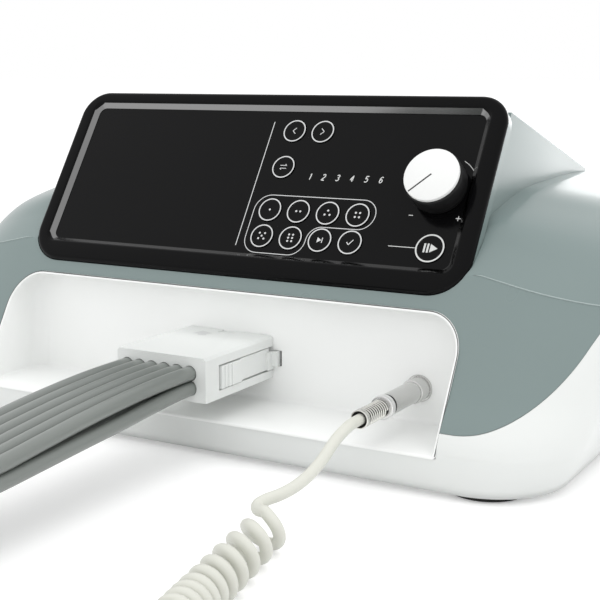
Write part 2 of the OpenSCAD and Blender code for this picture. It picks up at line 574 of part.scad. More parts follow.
// side: 1 for the upper ribbon, which ends up nearer the roll's middle
function run_ring(p, side) = let (d = side*(row_gap/2 + (step - row_gap)/2*p[2]/90) + (len(p) < 4 ? 0 : p[3]*(side > 0 ? 0.35 : -0.65)), u = [cos(p[2]), 0, sin(p[2])], n = [-sin(p[2]), 0, cos(p[2])])
  [[ribbon_x + (roll_x - ribbon_x)*p[2]/90, p[0], p[1]] + n*d, u, n];
valley = 1.9;
function ribbon_shape() = [for (t = [-1, 1]) each concat([[t*ribbon_w/2, t]],
  t < 0 ? [for (i = [0:10]) [(i/2 - 2.5)*hose_pitch, -(i%2 == 0 ? hose_d/2 : valley)]] : [for (i = [10:-1:0]) [(i/2 - 2.5)*hose_pitch, i%2 == 0 ? hose_d/2 : valley]],
  [[-t*ribbon_w/2, t]])];
module hose_upper() color("gray") dev() skin_tube([for (p = run_points) run_ring(p, 1)], ribbon_shape());
module hose_lower() color("gray") dev() skin_tube([for (p = run_points) run_ring(p, -1)], ribbon_shape());

// The roll: half turns whose radius grows by one step; k counts outwards
function half_turn(xr, k, r, front) = [for (i = [0:12]) let (a = 180*i/12)
  front ? [xr - r + r*cos(a), roll_y - roll_s - r*sin(a), a] : [xr - 2*r + r - r*cos(a), roll_y + r*sin(a), 180 + a]];
// path of one ribbon from the straight run inwards: radii from the outside
function roll_path(xr, radii, i = 0) = i >= len(radii) ? [] : i%2 == 0 ?
  concat(half_turn(xr, i, radii[i], true), roll_path(xr - 2*radii[i], radii, i + 1)) :
  concat(half_turn(xr + 2*radii[i], i, radii[i], false), roll_path(xr + 2*radii[i], radii, i + 1));
radii_a = [for (k = [5:-1:1]) 27 + step*(k - 1)];
radii_b = [for (k = [5:-1:2]) 27 + step*k];
xr_a = roll_x - step/2;
xr_b = roll_x + step/2;
path_a = roll_path(xr_a, radii_a);
path_b = roll_path(xr_b, radii_b);
// the outward direction at heading a: 0 is towards -Y with the middle of the roll on the -X side
function roll_ring(p) = [[p[0], p[1], roll_z], [0, 0, 1], [-cos(p[2]), sin(p[2]), 0]];
roll_shape = [for (s = [-1, 1]) each [[s*ribbon_w/2, s*1.6], [s*(ribbon_w/2 - 2.2), s*hose_d/2], [-s*(ribbon_w/2 - 2.2), s*hose_d/2], [-s*ribbon_w/2, s*1.6]]];
end_a = path_a[len(path_a) - 1];
end_b = path_b[len(path_b) - 1];
module hose_upper_roll() color("gray") dev() skin_tube(concat([[[xr_a, roll_y - 0.05, roll_z], [0, 0, 1], [-1, 0, 0]]],
  [for (p = path_a) roll_ring(p)], [[[end_a[0], end_a[1] + 10, roll_z], [0, 0, 1], [1, 0, 0]]]), roll_shape);
module hose_lower_roll() color("gray") dev() skin_tube(concat([[[xr_b, roll_y - 0.05, roll_z], [0, 0, 1], [-1, 0, 0]]],
  [for (p = path_b) roll_ring(p)], [[[end_b[0], end_b[1] - 10, roll_z], [0, 0, 1], [-1, 0, 0]]]), roll_shape);
module garment_plug(x, y, s) color("white") dev() translate([x, y, roll_z]) mirror([0, s < 0 ? 1 : 0, 0]) {
  box(-4.3, 4.3, 0.05, 26, -23, 23);
  box(-3, 3, 25.9, 32, -20, 20);
}
module garment_plug_upper() garment_plug(end_a[0], end_a[1] + 10, 1);
module garment_plug_lower() garment_plug(end_b[0], end_b[1] - 10, -1);
tie_x0 = xr_b - 2*radii_b[0] - hose_d/2 - 0.5;
tie_x1 = xr_a - 2*(radii_a[0] - radii_a[1] + radii_a[2] - radii_a[3] + radii_a[4]) + hose_d/2 + 0.5;
module roll_tie() color("black") dev() translate([0, roll_y - roll_s, roll_z]) difference() {
  box(tie_x0 - 1, tie_x1 + 1, 1, 9, -ribbon_w/2 - 1.2, ribbon_w/2 + 1.2);
  box(tie_x0, tie_x1, 0, 10, -ribbon_w/2 - 0.2, ribbon_w/2 + 0.2);
}
echo(least_gap_roll = step - hose_d, tie = [tie_x0, tie_x1], ends = [end_a, end_b]);

// Rear wall: openings shared by both shells
inlet_x = 120;
inlet_z = 48;
fuse_z = 26;
sw_x = 80;
vent_x0 = -150;
vent_x1 = -60;
vent_z0 = 30;
vent_z1 = 84;
module rear_cuts() {
  box(inlet_x - 14.1, inlet_x + 14.1, rear_y - 20, rear_y + 10, inlet_z - 10.1, inlet_z + 10.1);
  box(inlet_x - 10.1, inlet_x + 10.1, rear_y - 20, rear_y + 10, fuse_z - 5.1, fuse_z + 5.1);
  box(sw_x - 10.1, sw_x + 10.1, rear_y - 20, rear_y + 10, 28.9, 59.1);
  box(vent_x0 - seat, vent_x1 + seat, rear_y - 20, rear_y + 10, vent_z0 - seat, vent_z1 + seat);
}
module mains_inlet() color("black") dev() {
  box(inlet_x - 10, inlet_x + 10, rear_y - 20, rear_y + 0.2, fuse_z - 5, fuse_z + 5);
  difference() {
    box(inlet_x - 12, inlet_x + 12, rear_y + 0.1, rear_y + 2, fuse_z - 7, fuse_z + 7);
    box(inlet_x - 5, inlet_x + 5, rear_y + 1, rear_y + 3, fuse_z - 5.6, fuse_z - 4);
  }
  difference() {
    union() {
      box(inlet_x - 14, inlet_x + 14, rear_y - 22, rear_y + 1, inlet_z - 10, inlet_z + 10);
      box(inlet_x - 17, inlet_x + 17, rear_y + 0.1, rear_y + 1.8, inlet_z - 13, inlet_z + 13);
    }
    box(inlet_x - 11.5, inlet_x + 11.5, rear_y - 16, rear_y + 5, inlet_z - 7, inlet_z + 7);
  }
  for (p = [[-6.5, -1.5], [0, 1.5], [6.5, -1.5]]) box(inlet_x + p[0] - 1, inlet_x + p[0] + 1, rear_y - 17, rear_y - 5, inlet_z + p[1] - 2.5, inlet_z + p[1] + 2.5);
}
module switch_body() difference() {
  union() {
    box(sw_x - 10, sw_x + 10, rear_y - 18, rear_y + 1, 29, 59);
    box(sw_x - 12.5, sw_x + 12.5, rear_y + 0.1, rear_y + 2, 26.5, 61.5);
  }
  box(sw_x - 7.6, sw_x + 7.6, rear_y - 12, rear_y + 5, 32, 56);
}
module switch_frame() color("black") dev() {
  switch_body();
  translate([sw_x, rear_y - 3, 44]) along_x(-8.6, 8.6) circle(d = 2.4, $fn = 24);
}
rock = 12;
// Turned on one side at rest, so the stroke runs from off to on
module power_rocker() color("black") dev() translate([sw_x, rear_y - 3, 44]) rotate([-rock/2, 0, 0]) {
  difference() {
    union() {
      along_x(-7.2, 7.2) polygon([[-4, -8], [2.6, -10.6], [3.4, -10.6], [2.4, 0], [3.4, 10.6], [2.6, 10.6], [-4, 8]]);
      along_x(-7.2, 7.2) circle(d = 9, $fn = 32);
    }
    along_x(-8, 8) circle(d = 2.6, $fn = 24);
  }
}
module vent_grille() color("dimgray") dev() difference() {
  union() {
    box(vent_x0, vent_x1, rear_y - 4, rear_y + 0.2, vent_z0, vent_z1);
    box(vent_x0 - 3, vent_x1 + 3, rear_y + 0.1, rear_y + 1.8, vent_z0 - 3, vent_z1 + 3);
  }
  for (i = [0:9]) box(vent_x0 + 3, vent_x1 - 3, rear_y - 5, rear_y + 3, vent_z0 + 2.5 + 5.1*i, vent_z0 + 5 + 5.1*i);
}

// Inside
plate_z = 14;
plate_t = 1.5;
pump_x0 = -168;
pump_x1 = -68;
pump_y0 = 62;
pump_y1 = 142;
pump_z0 = plate_z + plate_t + 6;
pump_z1 = pump_z0 + 56;
stroke = 3;
module chassis_plate() color("silver") dev() difference() {
  union() {
    translate([0, 0, plate_z]) linear_extrude(plate_t) polygon([[-172, 24], [172, 24], [172, 186], [158, 200], [-158, 200], [-172, 186]]);
    box(-172, -170, 24, 186, plate_z, plate_z + 12);
    box(170, 172, 24, 186, plate_z, plate_z + 12);
  }
  for (p = case_at) translate([p[0], p[1], 0]) cylinder(d = 9.2, h = 40);
  for (x = [pump_x0 + 12, pump_x1 - 12], y = [pump_y0 + 12, pump_y1 - 12]) translate([x, y, 0]) cylinder(d = 5.2, h = 40, $fn = 24);
}
module pump_mounts() color("black") dev() for (x = [pump_x0 + 12, pump_x1 - 12], y = [pump_y0 + 12, pump_y1 - 12]) translate([x, y, 0]) {
  translate([0, 0, plate_z + plate_t]) cylinder(d = 14, h = 2);
  translate([0, 0, plate_z + plate_t + 1.9]) cylinder(d = 9, h = 2.2);
  translate([0, 0, plate_z + plate_t + 4]) cylinder(d = 14, h = 2);
  translate([0, 0, plate_z - 2.5]) cylinder(d = 5, h = 4.2, $fn = 24);
  translate([0, 0, plate_z - 4]) cylinder(d = 9, h = 4 - 0.05);
}
module pump_case() difference() {
  union() {
    box(pump_x0, pump_x1, pump_y0, pump_y1, pump_z0, pump_z1);
    for (x = [pump_x0, pump_x1 - 12]) translate([x + 6, (pump_y0 + pump_y1)/2, pump_z1 - 0.1]) cylinder(d = 8, h = 4);
  }
  box(pump_x0 + 5, pump_x1 - 5, pump_y0 + 5, pump_y1 - 5, pump_z0 + 5, pump_z1 - 5);
  along_x(pump_x1 - 10, pump_x1 + 5) translate([(pump_y0 + pump_y1)/2, pump_z0 + 14]) circle(d = 6.2, $fn = 24);
}
// the case with the two rails that the armature slides on
module air_pump() color("silver") dev() {
  pump_case();
  for (y = [pump_cy - 20, pump_cy + 20]) translate([0, y, pump_cz]) along_x(pump_x0 + 4.9, pump_x1 - 4.9) circle(d = 4, $fn = 24);
}
pump_cy = (pump_y0 + pump_y1)/2;
pump_cz = (pump_z0 + pump_z1)/2;
module pump_armature() color("dimgray") dev() translate([(pump_x0 + pump_x1)/2, pump_cy, pump_cz]) difference() {
  union() {
    box(-18, 18, -27, 27, -9, 9);
    along_x(-34, 34) circle(d = 12);
    along_x(-36, -33.9) circle(d = 30);
    along_x(33.9, 36) circle(d = 30);
  }
  for (y = [-20, 20]) translate([0, y, 0]) along_x(-20, 20) circle(d = 4.2, $fn = 24);
}
dist_x = 10;
dist_y = 100;
dist_z = plate_z + plate_t;
module distributor() color("white") dev() translate([dist_x, dist_y, dist_z]) difference() {
  union() {
    cylinder(d = 76, h = 22);
    box(-32, 32, -48, -20, 14, 22);
    translate([0, 0, 21.9]) cylinder(d = 30, h = 6);
  }
  translate([0, 0, 3]) cylinder(d = 58, h = 8);
  translate([0, 0, 5]) cylinder(d = 8.2, h = 40, $fn = 24);
  along_x(-45, -27) translate([0, 7]) circle(d = 6.2, $fn = 24);
}
module distributor_rotor() color("goldenrod") dev() translate([dist_x, dist_y, dist_z]) difference() {
  union() {
    translate([0, 0, 3.3]) cylinder(d = 57.4, h = 7.4);
    translate([0, 0, 10.6]) cylinder(d = 8, h = 20, $fn = 24);
  }
  for (a = [0, 60, 120]) rotate(a) translate([20, 0, 2]) cylinder(d = 7, h = 10, $fn = 24);
}
module distributor_motor() color("silver") dev() translate([dist_x, dist_y, dist_z + 28]) difference() {
  union() {
    cylinder(d = 54, h = 22);
    box(-33, 33, -5, 5, 0, 1.2);
  }
  translate([0, 0, -1]) cylinder(d = 8.6, h = 6);
}
module inner_hoses() color("gray") dev() {
  hose_set();
  air_line();
}
module hose_set() for (i = [0:5], t = [-1, 1])
  translate([conn_x + (i - 2.5)*8.4 , bay_back + 14.05, row_mid + t*4.2]) rotate([-90, 0, 0]) cylinder(d = 7, h = dist_y - 48 - bay_back - 14.1, $fn = 20);
module air_line() difference() {
  along_x(pump_x1 + 0.1, dist_x - 38.2) translate([pump_cy, pump_z0 + 14]) circle(d = 8, $fn = 24);
  along_x(pump_x1 - 5, dist_x - 30) translate([pump_cy, pump_z0 + 14]) circle(d = 5, $fn = 24);
}
module main_board() color("green") dev() {
  box(66, 160, 36, 104, plate_z + plate_t + 5, plate_z + plate_t + 6.6);
  for (x = [70, 156], y = [40, 100]) translate([x, y, plate_z + plate_t]) cylinder(d = 5, h = 5.1, $fn = 24);
  for (p = [[80, 60, 10, 10, 12], [100, 48, 22, 12, 3], [130, 50, 18, 16, 14], [104, 80, 24, 18, 16], [140, 84, 12, 12, 20]])
    translate([p[0], p[1], plate_z + plate_t + 6.5]) cube([p[2], p[3], p[4]]);
}

base_tray();
upper_shell();
display_housing();
panel_bezel();
fascia();
bay_insert();
rubber_feet();
screws();
key_back();
key_forward();
key_reverse();
key_mode_a();
key_mode_b();
key_mode_c();
key_mode_d();
key_mode_e();
key_mode_f();
key_skip();
key_confirm();
key_start();
knob_cap();
knob_skirt();
pressure_control();
key_board();
hose_connector();
latch_left();
latch_right();
hose_manifold();
hose_upper();
hose_lower();
hose_upper_roll();
hose_lower_roll();
garment_plug_upper();
garment_plug_lower();
roll_tie();
cord_socket();
cord_plug();
plug_spring();
plug_sleeve();
cord_lead();
cord_curls();
cord_tail();
grip_top();
grip_bottom();
grip_button();
grip_switch();
grip_relief();
mains_inlet();
switch_frame();
power_rocker();
vent_grille();
chassis_plate();
pump_mounts();
air_pump();
pump_armature();
distributor();
distributor_rotor();
distributor_motor();
inner_hoses();
main_board();
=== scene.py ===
# Compression therapy pump with its hoses and hand switch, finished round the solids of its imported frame.
# Sizes are millimetres of the pump's own drawing: x to the right, y to the rear, z up from the table.
import math
import bpy
import bmesh
import numpy as np
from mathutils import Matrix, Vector
from mathutils.bvhtree import BVHTree


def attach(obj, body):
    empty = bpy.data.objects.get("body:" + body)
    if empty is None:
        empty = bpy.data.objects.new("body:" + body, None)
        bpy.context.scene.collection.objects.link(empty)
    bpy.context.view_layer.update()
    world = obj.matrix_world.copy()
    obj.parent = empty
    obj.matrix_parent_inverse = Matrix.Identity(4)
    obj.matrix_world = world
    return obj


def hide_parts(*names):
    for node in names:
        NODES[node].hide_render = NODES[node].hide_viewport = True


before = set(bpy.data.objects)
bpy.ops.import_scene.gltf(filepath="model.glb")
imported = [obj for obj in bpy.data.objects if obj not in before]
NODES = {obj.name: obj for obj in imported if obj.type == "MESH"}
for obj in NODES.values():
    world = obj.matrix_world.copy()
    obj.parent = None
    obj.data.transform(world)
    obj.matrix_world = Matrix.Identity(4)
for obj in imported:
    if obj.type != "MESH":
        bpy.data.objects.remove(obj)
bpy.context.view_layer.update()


# ---------------------------------------------------------------- tray and upper shell
# Two ABS mouldings, a white tray and a blue-grey shell under a clear coat, screwed together from below
# and parted along the white sweep that rises to both sides. Both are cut from one lofted body with a
# wall of about 3 mm; the hose bay, the panel's seat and the rear openings go through it.
class Sock:
    """An output socket of a material; + and * with it, on either side, add a Math node that does the same."""

    def __init__(self, mat, s):
        self.mat, self.s = mat, s

    def math(self, operation, other):
        n = self.mat.node("ShaderNodeMath", {"operation": operation}, {0: self, 1: other})
        return Sock(self.mat, n.outputs[0])

    def __add__(self, other):
        return self.math("ADD", other)

    def __mul__(self, other):
        return self.math("MULTIPLY", other)

    __radd__, __rmul__ = __add__, __mul__

    def unit(self):
        """The value, kept between 0 and 1."""
        n = self.mat.node("ShaderNodeMapRange", {"clamp": True}, {"Value": self, "From Min": 0, "From Max": 1})
        return Sock(self.mat, n.outputs[0])


class Mat:
    """A finish on the Principled shader: what is even all over stands on its own sockets, wear() clouds it."""

    def __init__(self, name, color, rough=0.4, metal=0.0, coat=0.0, coat_rough=0.05, spec=0.5):
        self.m = bpy.data.materials.new(name)
        self.color, self.rough = color, rough
        self.m.use_nodes = True
        self.tree = self.m.node_tree
        self.shader = next(n for n in self.tree.nodes if n.type == "BSDF_PRINCIPLED")
        self.feed(self.shader, {"Base Color": (*color, 1), "Roughness": rough, "Metallic": metal,
                                "Coat Weight": coat, "Coat Roughness": coat_rough, "Specular IOR Level": spec})

    def feed(self, node, inputs):
        for key, value in inputs.items():
            if isinstance(value, Sock):
                self.tree.links.new(value.s, node.inputs[key])
            else:
                node.inputs[key].default_value = value

    def node(self, kind, settings=None, inputs=None):
        """A node of that type: its settings come first, then a value or a link for each socket."""
        n = self.tree.nodes.new(kind)
        for key, value in (settings or {}).items():
            setattr(n, key, value)
        self.feed(n, inputs or {})
        return n

    def noise(self, scale, detail=0.0, rough=0.5, stretch=(1, 1, 1)):
        """A cloud with scale waves to the metre on Object coordinates, squeezed along the axes by stretch."""
        place = Sock(self, self.node("ShaderNodeTexCoord").outputs["Object"])
        place = Sock(self, self.node("ShaderNodeMapping", {}, {"Vector": place, "Scale": stretch}).outputs[0])
        n = self.node("ShaderNodeTexNoise", {}, {"Vector": place, "Scale": scale, "Detail": detail,
                                                 "Roughness": rough})
        return Sock(self, n.outputs["Fac"])

    def wear(self, tint, spread, grain=0.0, fine=900, stretch=(1, 1, 1)):
        """Clouds the colour by tint over some 60 mm and the gloss by spread over 30 mm; grain adds a fine bump."""
        pale, deep = ((*(min(1, v * k) for v in self.color), 1) for k in (1 + tint, 1 - tint))
        cloud = self.node("ShaderNodeMix", {"data_type": "RGBA"}, {"Factor": self.noise(16).unit(), 6: deep, 7: pale})
        gloss = self.noise(30, stretch=stretch).unit() * (2 * spread) + (self.rough - spread)
        self.feed(self.shader, {"Base Color": Sock(self, cloud.outputs[2]), "Roughness": gloss})
        if grain:
            height = self.noise(fine, 3, .6, stretch)
            bump = self.node("ShaderNodeBump", {}, {"Strength": grain, "Distance": 0.00005, "Height": height})
            self.feed(self.shader, {"Normal": Sock(self, bump.outputs[0])})
        return self


SHELL_GREY = Mat("shell_grey", (0.20, 0.257, 0.252), 0.3, coat=0.25, coat_rough=0.1).wear(.02, .04)
SHELL_WHITE = Mat("shell_white", (0.80, 0.82, 0.805), 0.32, coat=0.25, coat_rough=0.12).wear(.01, .05)
# lighter than the shell grey: the painted highlight along the crease between front and top
CREASE_HIGHLIGHT_GREY = Mat("painted_crease_highlight", (.36, .43, .42), .3, coat=.4, coat_rough=.1).wear(.03, .04)

SHIFT = 51.0            # the frame stands this much further to the rear than the drawing
TILT = math.radians(33)  # lean of the panel
FOOT_Z = 82             # height of the panel's lower edge
HALF, REAR = 197.5, 214.0
FLAT_X, FALL = 132.0, 0.22          # beyond FLAT_X the body falls off to its sides by this slope
BAY = dict(w=128.5, top=73.8, floor=19.2, back=10.0, r=16.5)
RIM, JOINT = 1.35, 0.22  # the shells stand back from the bay by RIM, and are JOINT apart along the sweep
# left, right, low and high edge of the rear openings: inlet, fuse drawer, power switch, vent
REAR_HOLES = [(105.9, 134.1, 37.9, 58.1), (109.9, 130.1, 20.9, 31.1), (69.9, 90.1, 28.9, 59.1),
              (-150.1, -59.9, 29.9, 84.1)]


def face_y(z):
    """The front face leans back by 30 degrees through y 2.2 at the panel's lower edge."""
    return 2.2 + (np.asarray(z, float) - FOOT_Z) * math.tan(math.radians(30))


# height, half width, front, rear, corner radius, share of the fall to the sides
LEVELS = np.array([
    (2.5, HALF - 23, -31, REAR, 35, 0), (19.4, HALF - 15, face_y(19.4), REAR, 38, 0),
    (45, HALF - 8.5, face_y(45), REAR, 42, .25), (70, HALF - 2.5, face_y(70), REAR, 46, .6),
    (91, HALF, face_y(91), REAR, 50, 1), (102, HALF - 1, 21, REAR - 1.5, 52, 1),
    (113, HALF - 8, 35, REAR - 8, 54, 1), (119.5, HALF - 20, 60, REAR - 17, 44, 1),
    (123.5, HALF - 33, 84, REAR - 27, 32, 1), (125.5, HALF - 45, 134, REAR - 38, 20, 1)], float)
EDGE_LEVEL = 4          # the body's widest level, where the front breaks into the top


def metres(points):
    """The drawing's millimetres in the frame's metres."""
    return (np.asarray(points, float) + (0, SHIFT, 0)) / 1000


def link(o):
    bpy.context.scene.collection.objects.link(o)
    return o


def new_object(name, points, faces):
    me = bpy.data.meshes.new(name)
    me.from_pydata(metres(points).reshape(-1, 3).tolist(), [], [list(map(int, f)) for f in faces])
    me.update()
    return link(bpy.data.objects.new(name, me))


def smooth(o, angle=None):
    """Smooth shading, but sharp where two faces meet at more than angle degrees."""
    o.data.polygons.foreach_set("use_smooth", np.ones(len(o.data.polygons), bool))
    if angle:
        o.data.set_sharp_from_angle(angle=math.radians(angle))


def fit(o, mat, nodes, body="root", replaces=True):
    """Gives a piece its finish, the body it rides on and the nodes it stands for."""
    nodes = [nodes] if isinstance(nodes, str) else nodes
    o.data.materials.clear()
    o.data.materials.append(mat.m)
    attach(o, body)
    if replaces:
        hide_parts(*nodes)
    return o


def add(name, points, faces, mat, nodes, body="root", replaces=True, angle=None):
    o = new_object(name, points, faces)
    smooth(o, angle)
    return fit(o, mat, nodes, body, replaces)


def finish(mat, *nodes):
    """The finish of nodes that keep their CAD mesh, and of the mesh under a piece that stands for them."""
    for node in nodes:
        NODES[node].data.materials.clear()
        NODES[node].data.materials.append(mat.m)


def strip(m, n, wrap_v=True, wrap_u=False, flip=False):
    """Quads of an m by n grid of points; wrap_v closes each row, wrap_u joins the last row to the first."""
    i = np.arange(m if wrap_u else m - 1)[:, None]
    j = np.arange(n if wrap_v else n - 1)[None]
    a, b, k = i * n, (i + 1) % m * n, (j + 1) % n
    quads = np.stack([a + j, a + k, b + k, b + j], -1).reshape(-1, 4)
    return (quads[:, ::-1] if flip else quads).tolist()


def ends(m, n):
    """The first and the last row of such a grid as two flat faces."""
    return [[*range(n - 1, -1, -1)], [*range((m - 1) * n, m * n)]]


def pchip(x, y, xi):
    """Shape-keeping cubic through (x, y): inner slopes are weighted harmonic means of the steps beside them."""
    h, d = np.diff(x), np.diff(y) / np.diff(x)
    w1, w2 = 2 * h[1:] + h[:-1], h[1:] + 2 * h[:-1]
    rising = d[:-1] * d[1:] > 0
    m = np.concatenate([d[:1], np.zeros(len(x) - 2), d[-1:]])
    m[1:-1][rising] = ((w1 + w2) / (w1 / np.where(rising, d[:-1], 1) + w2 / np.where(rising, d[1:], 1)))[rising]
    k = np.clip(np.searchsorted(x, xi, side="right") - 1, 0, len(x) - 2)
    t = (xi - x[k]) / h[k]
    return ((2 * t**3 - 3 * t**2 + 1) * y[k] + (t**3 - 2 * t**2 + t) * h[k] * m[k]
            + (3 * t**2 - 2 * t**3) * y[k + 1] + (t**3 - t**2) * h[k] * m[k + 1])


def body_rows(cuts, corner=20):
    """Rings of the body at positions counted along LEVELS: straight front and rear with quarter circles
    between them, each point lowered by FALL times its distance beyond FLAT_X."""
    cuts, s = np.asarray(cuts, float), np.arange(len(LEVELS), dtype=float)
    low, top = slice(0, EDGE_LEVEL + 1), slice(EDGE_LEVEL, None)
    z, w, f, b, r, g = (
        np.where(cuts <= EDGE_LEVEL, pchip(s[low], v[low], cuts), pchip(s[top], v[top], cuts))[:, None]
        for v in LEVELS.T)
    flat = np.linspace(-FLAT_X, FLAT_X, 9)[None]

    def bend(cx, cy, start):
        a = np.radians(start + 90 * np.arange(corner + 1) / corner)
        return cx + r * np.cos(a), cy + r * np.sin(a)

    runs = [(flat, f), bend(w - r, f + r, -90), bend(w - r, b - r, 0), (flat[:, ::-1], b), bend(r - w, b - r, 90),
            bend(r - w, f + r, 180)]
    x, y = (np.concatenate(v, 1) for v in zip(*[np.broadcast_arrays(*run) for run in runs]))
    return np.stack([x, y, z - FALL * g * np.maximum(0, abs(x) - FLAT_X)], -1)


def closed_loft(rows):
    """The rings as one closed skin; its top is three faces, which bend along the ends of the flat part."""
    m, n = rows.shape[:2]
    top, rear = (m - 1) * n, n // 2
    f = strip(m, n) + ends(m, n)[:1]
    f += [[top, top + 8, top + rear, top + rear + 8], [*range(top + 8, top + rear + 1)],
          [*range(top + rear + 8, top + n), top]]
    return rows, f


def solid(name, points, faces):
    """A closed solid with its faces turned outwards, as a piece to cut or as a tool that cuts."""
    o = new_object(name, points, faces)
    bm = bmesh.new()
    bm.from_mesh(o.data)
    bmesh.ops.recalc_face_normals(bm, faces=bm.faces)
    bm.to_mesh(o.data)
    bm.free()
    return o


def cut(o, *cutters, op="DIFFERENCE"):
    """Cuts the cutters out of a solid, or keeps what it shares with them, and throws them away."""
    for c in cutters:
        m = o.modifiers.new("cut", "BOOLEAN")
        m.object, m.operation, m.solver = c, op, "EXACT"
        me = bpy.data.meshes.new_from_object(o.evaluated_get(bpy.context.evaluated_depsgraph_get()))
        o.modifiers.clear()
        old, o.data = o.data, me
        bpy.data.meshes.remove(old)
        bpy.data.objects.remove(c)


def prism(outline, place, name="prism"):
    """An outline carried straight: place(points, k) sets its near end for k 0 and its far end for k 1."""
    p = np.array(outline, float)
    return solid(name, np.vstack([place(p, 0), place(p, 1)]), strip(2, len(p)) + ends(2, len(p)))


def panel(u, v, w):
    """A point of the leaning panel: across, up the slope, out of it."""
    u, v, w = np.broadcast_arrays(np.asarray(u, float), v, w)
    y = v * math.sin(TILT) - w * math.cos(TILT)
    return np.stack([u, y, FOOT_Z + v * math.cos(TILT) + w * math.sin(TILT)], -1)


def along_x(x0, x1):
    return lambda p, k: np.stack([np.full(len(p), (x0, x1)[k]), p[:, 0], p[:, 1]], -1)


def along_y(y0, y1):
    return lambda p, k: np.stack([p[:, 0], np.full(len(p), (y0, y1)[k]), p[:, 1]], -1)


def along_z(z0, z1):
    return lambda p, k: np.stack([p[:, 0], p[:, 1], np.full(len(p), (z0, z1)[k])], -1)


def on_panel(w0, w1=0.0):
    return lambda p, k=0: panel(p[:, 0], p[:, 1], (w0, w1)[k])


def rectangle(x0, x1, y0, y1):
    return [(x0, y0), (x1, y0), (x1, y1), (x0, y1)]


def round_rect(x0, x1, y0, y1, r, n=10):
    """A rectangle with quarter circles at its corners, from the low left one round to the top left one."""
    r = np.broadcast_to(np.asarray(r, float), 4)[:, None]
    right, up = np.array([[-1], [1], [1], [-1]]), np.array([[-1], [-1], [1], [1]])
    a = np.radians(np.array([[180], [270], [0], [90]]) + 90 * np.arange(n + 1) / n)
    x = np.where(right > 0, x1, x0) - right * r + r * np.cos(a)
    y = np.where(up > 0, y1, y0) - up * r + r * np.sin(a)
    return np.stack([x, y], -1).reshape(-1, 2)


def sweep_outline(gap=0.0):
    """What lies under the white sweep: to each side a part of an ellipse, 51.4 by 63.8, that turns upright."""
    k = np.linspace(0, 0.9, 40)
    arc = np.stack([135.5 + 51.4 * k, 28.3 + 63.8 * (1 - np.sqrt(1 - k * k)) + gap], -1)
    right = np.vstack([arc, [(200, 106 + gap), (212, 106 + gap), (212, -5)]])
    return np.vstack([right[::-1] * (-1, 1), right])


def uncut_normals(o, source):
    """Corner normals of the uncut skin, so that the cuts leave no facets in the gloss: each corner on it
    takes the normals of the nearest source triangle, weighted by its place in it; cut faces stay flat."""
    bm = bmesh.new()
    bm.from_mesh(source)
    bmesh.ops.triangulate(bm, faces=bm.faces)
    bm.normal_update()
    tree = BVHTree.FromBMesh(bm)
    bm.faces.ensure_lookup_table()
    me, near, same_way = o.data, 0.0006, 0.8
    smooth(o)
    corner_vertex = np.zeros(len(me.loops), int)
    me.loops.foreach_get("vertex_index", corner_vertex)
    normals = [(0, 0, 1)] * len(me.loops)
    for p in me.polygons:
        hit = tree.find_nearest(p.center, near)
        outside = hit[0] is not None and p.normal.dot(bm.faces[hit[2]].normal) > same_way
        for corner in p.loop_indices:
            normal = p.normal
            if outside:
                at, _, face, _ = tree.find_nearest(me.vertices[corner_vertex[corner]].co)
                verts = bm.faces[face].verts
                a, b, c = (v.co for v in verts)
                area = (b - a).cross(c - a)
                size = area.dot(area) or 1e-20
                wa = (b - at).cross(c - at).dot(area) / size
                wb = (c - at).cross(a - at).dot(area) / size
                mean = verts[0].normal * wa + verts[1].normal * wb + verts[2].normal * (1 - wa - wb)
                normal = mean.normalized() if mean.length > 1e-6 else normal
            normals[corner] = tuple(normal)
    bm.free()
    me.normals_split_custom_set(normals)


CUTS = np.concatenate([np.linspace(0, .96, 5), [.985, 1.015], np.linspace(1.06, 3.94, 22), [3.97, 4.0, 4.03],
                       np.linspace(4.08, 9, 34)])
outer = body_rows(CUTS)
x, y, z = np.moveaxis(outer, -1, 0)
inner = np.stack([x * (HALF - 3) / HALF, np.where(y < 90, y + 3.4, y - 3),
                  np.where(z > 60, z - 3 * (z - 60) / 65, z + 3 * (1 - z / 60))], -1)


def shell(name, node, mat):
    """One moulding of the body: the tray is what lies under the sweep, the upper shell what lies over it."""
    o = solid(name, *closed_loft(outer))
    uncut = o.data.copy()
    corner = BAY["r"] + RIM
    bay = round_rect(-BAY["w"] - RIM, BAY["w"] + RIM, BAY["floor"] - RIM, BAY["top"] + RIM,
                     (.01, .01, corner, corner), 14)
    cut(o, solid("hollow", *closed_loft(inner)), prism(bay, along_y(-70, BAY["back"] + 2.1)),
        *[prism(rectangle(*hole), along_y(200, 230)) for hole in REAR_HOLES])
    if node == "base_tray":
        cut(o, prism(sweep_outline(), along_y(-80, 260)), op="INTERSECT")
    else:
        seat = prism(round_rect(-126.2, 126.2, -0.2, 103.9, (19.2, 19.2, 15.2, 15.2), 12), on_panel(-8.05, 60))
        window = prism(round_rect(-117, 117, 11.5, 96, 4), on_panel(-60, 0))
        cut(o, seat, window, prism(sweep_outline(JOINT), along_y(-80, 260)))
    uncut_normals(o, uncut)
    fit(o, mat, node)


shell("shell_upper_skin", "upper_shell", SHELL_GREY)
shell("shell_tray_skin", "base_tray", SHELL_WHITE)
finish(SHELL_GREY, "upper_shell")
finish(SHELL_WHITE, "base_tray")


# ---------------------------------------------------------------- painted crease highlight
# A thin raised line along the crease between front and top of the upper shell, lighter than the shell: a painted
# highlight of the crease. It starts beside the panel, runs out along the crease, and fades as it rounds each front
# corner.
def frames(path):
    """Tangent, side and normal along a path; each side is the one before it, laid square to the new tangent."""
    t = np.gradient(path, axis=0)
    t /= np.linalg.norm(t, axis=1)[:, None]
    side = np.cross(t[0], (0, 0, 1))
    sides = np.zeros_like(t)
    for k, along in enumerate(t):
        side = side - along * (side @ along)
        side /= np.linalg.norm(side)
        sides[k] = side
    return t, sides, np.cross(t, sides)


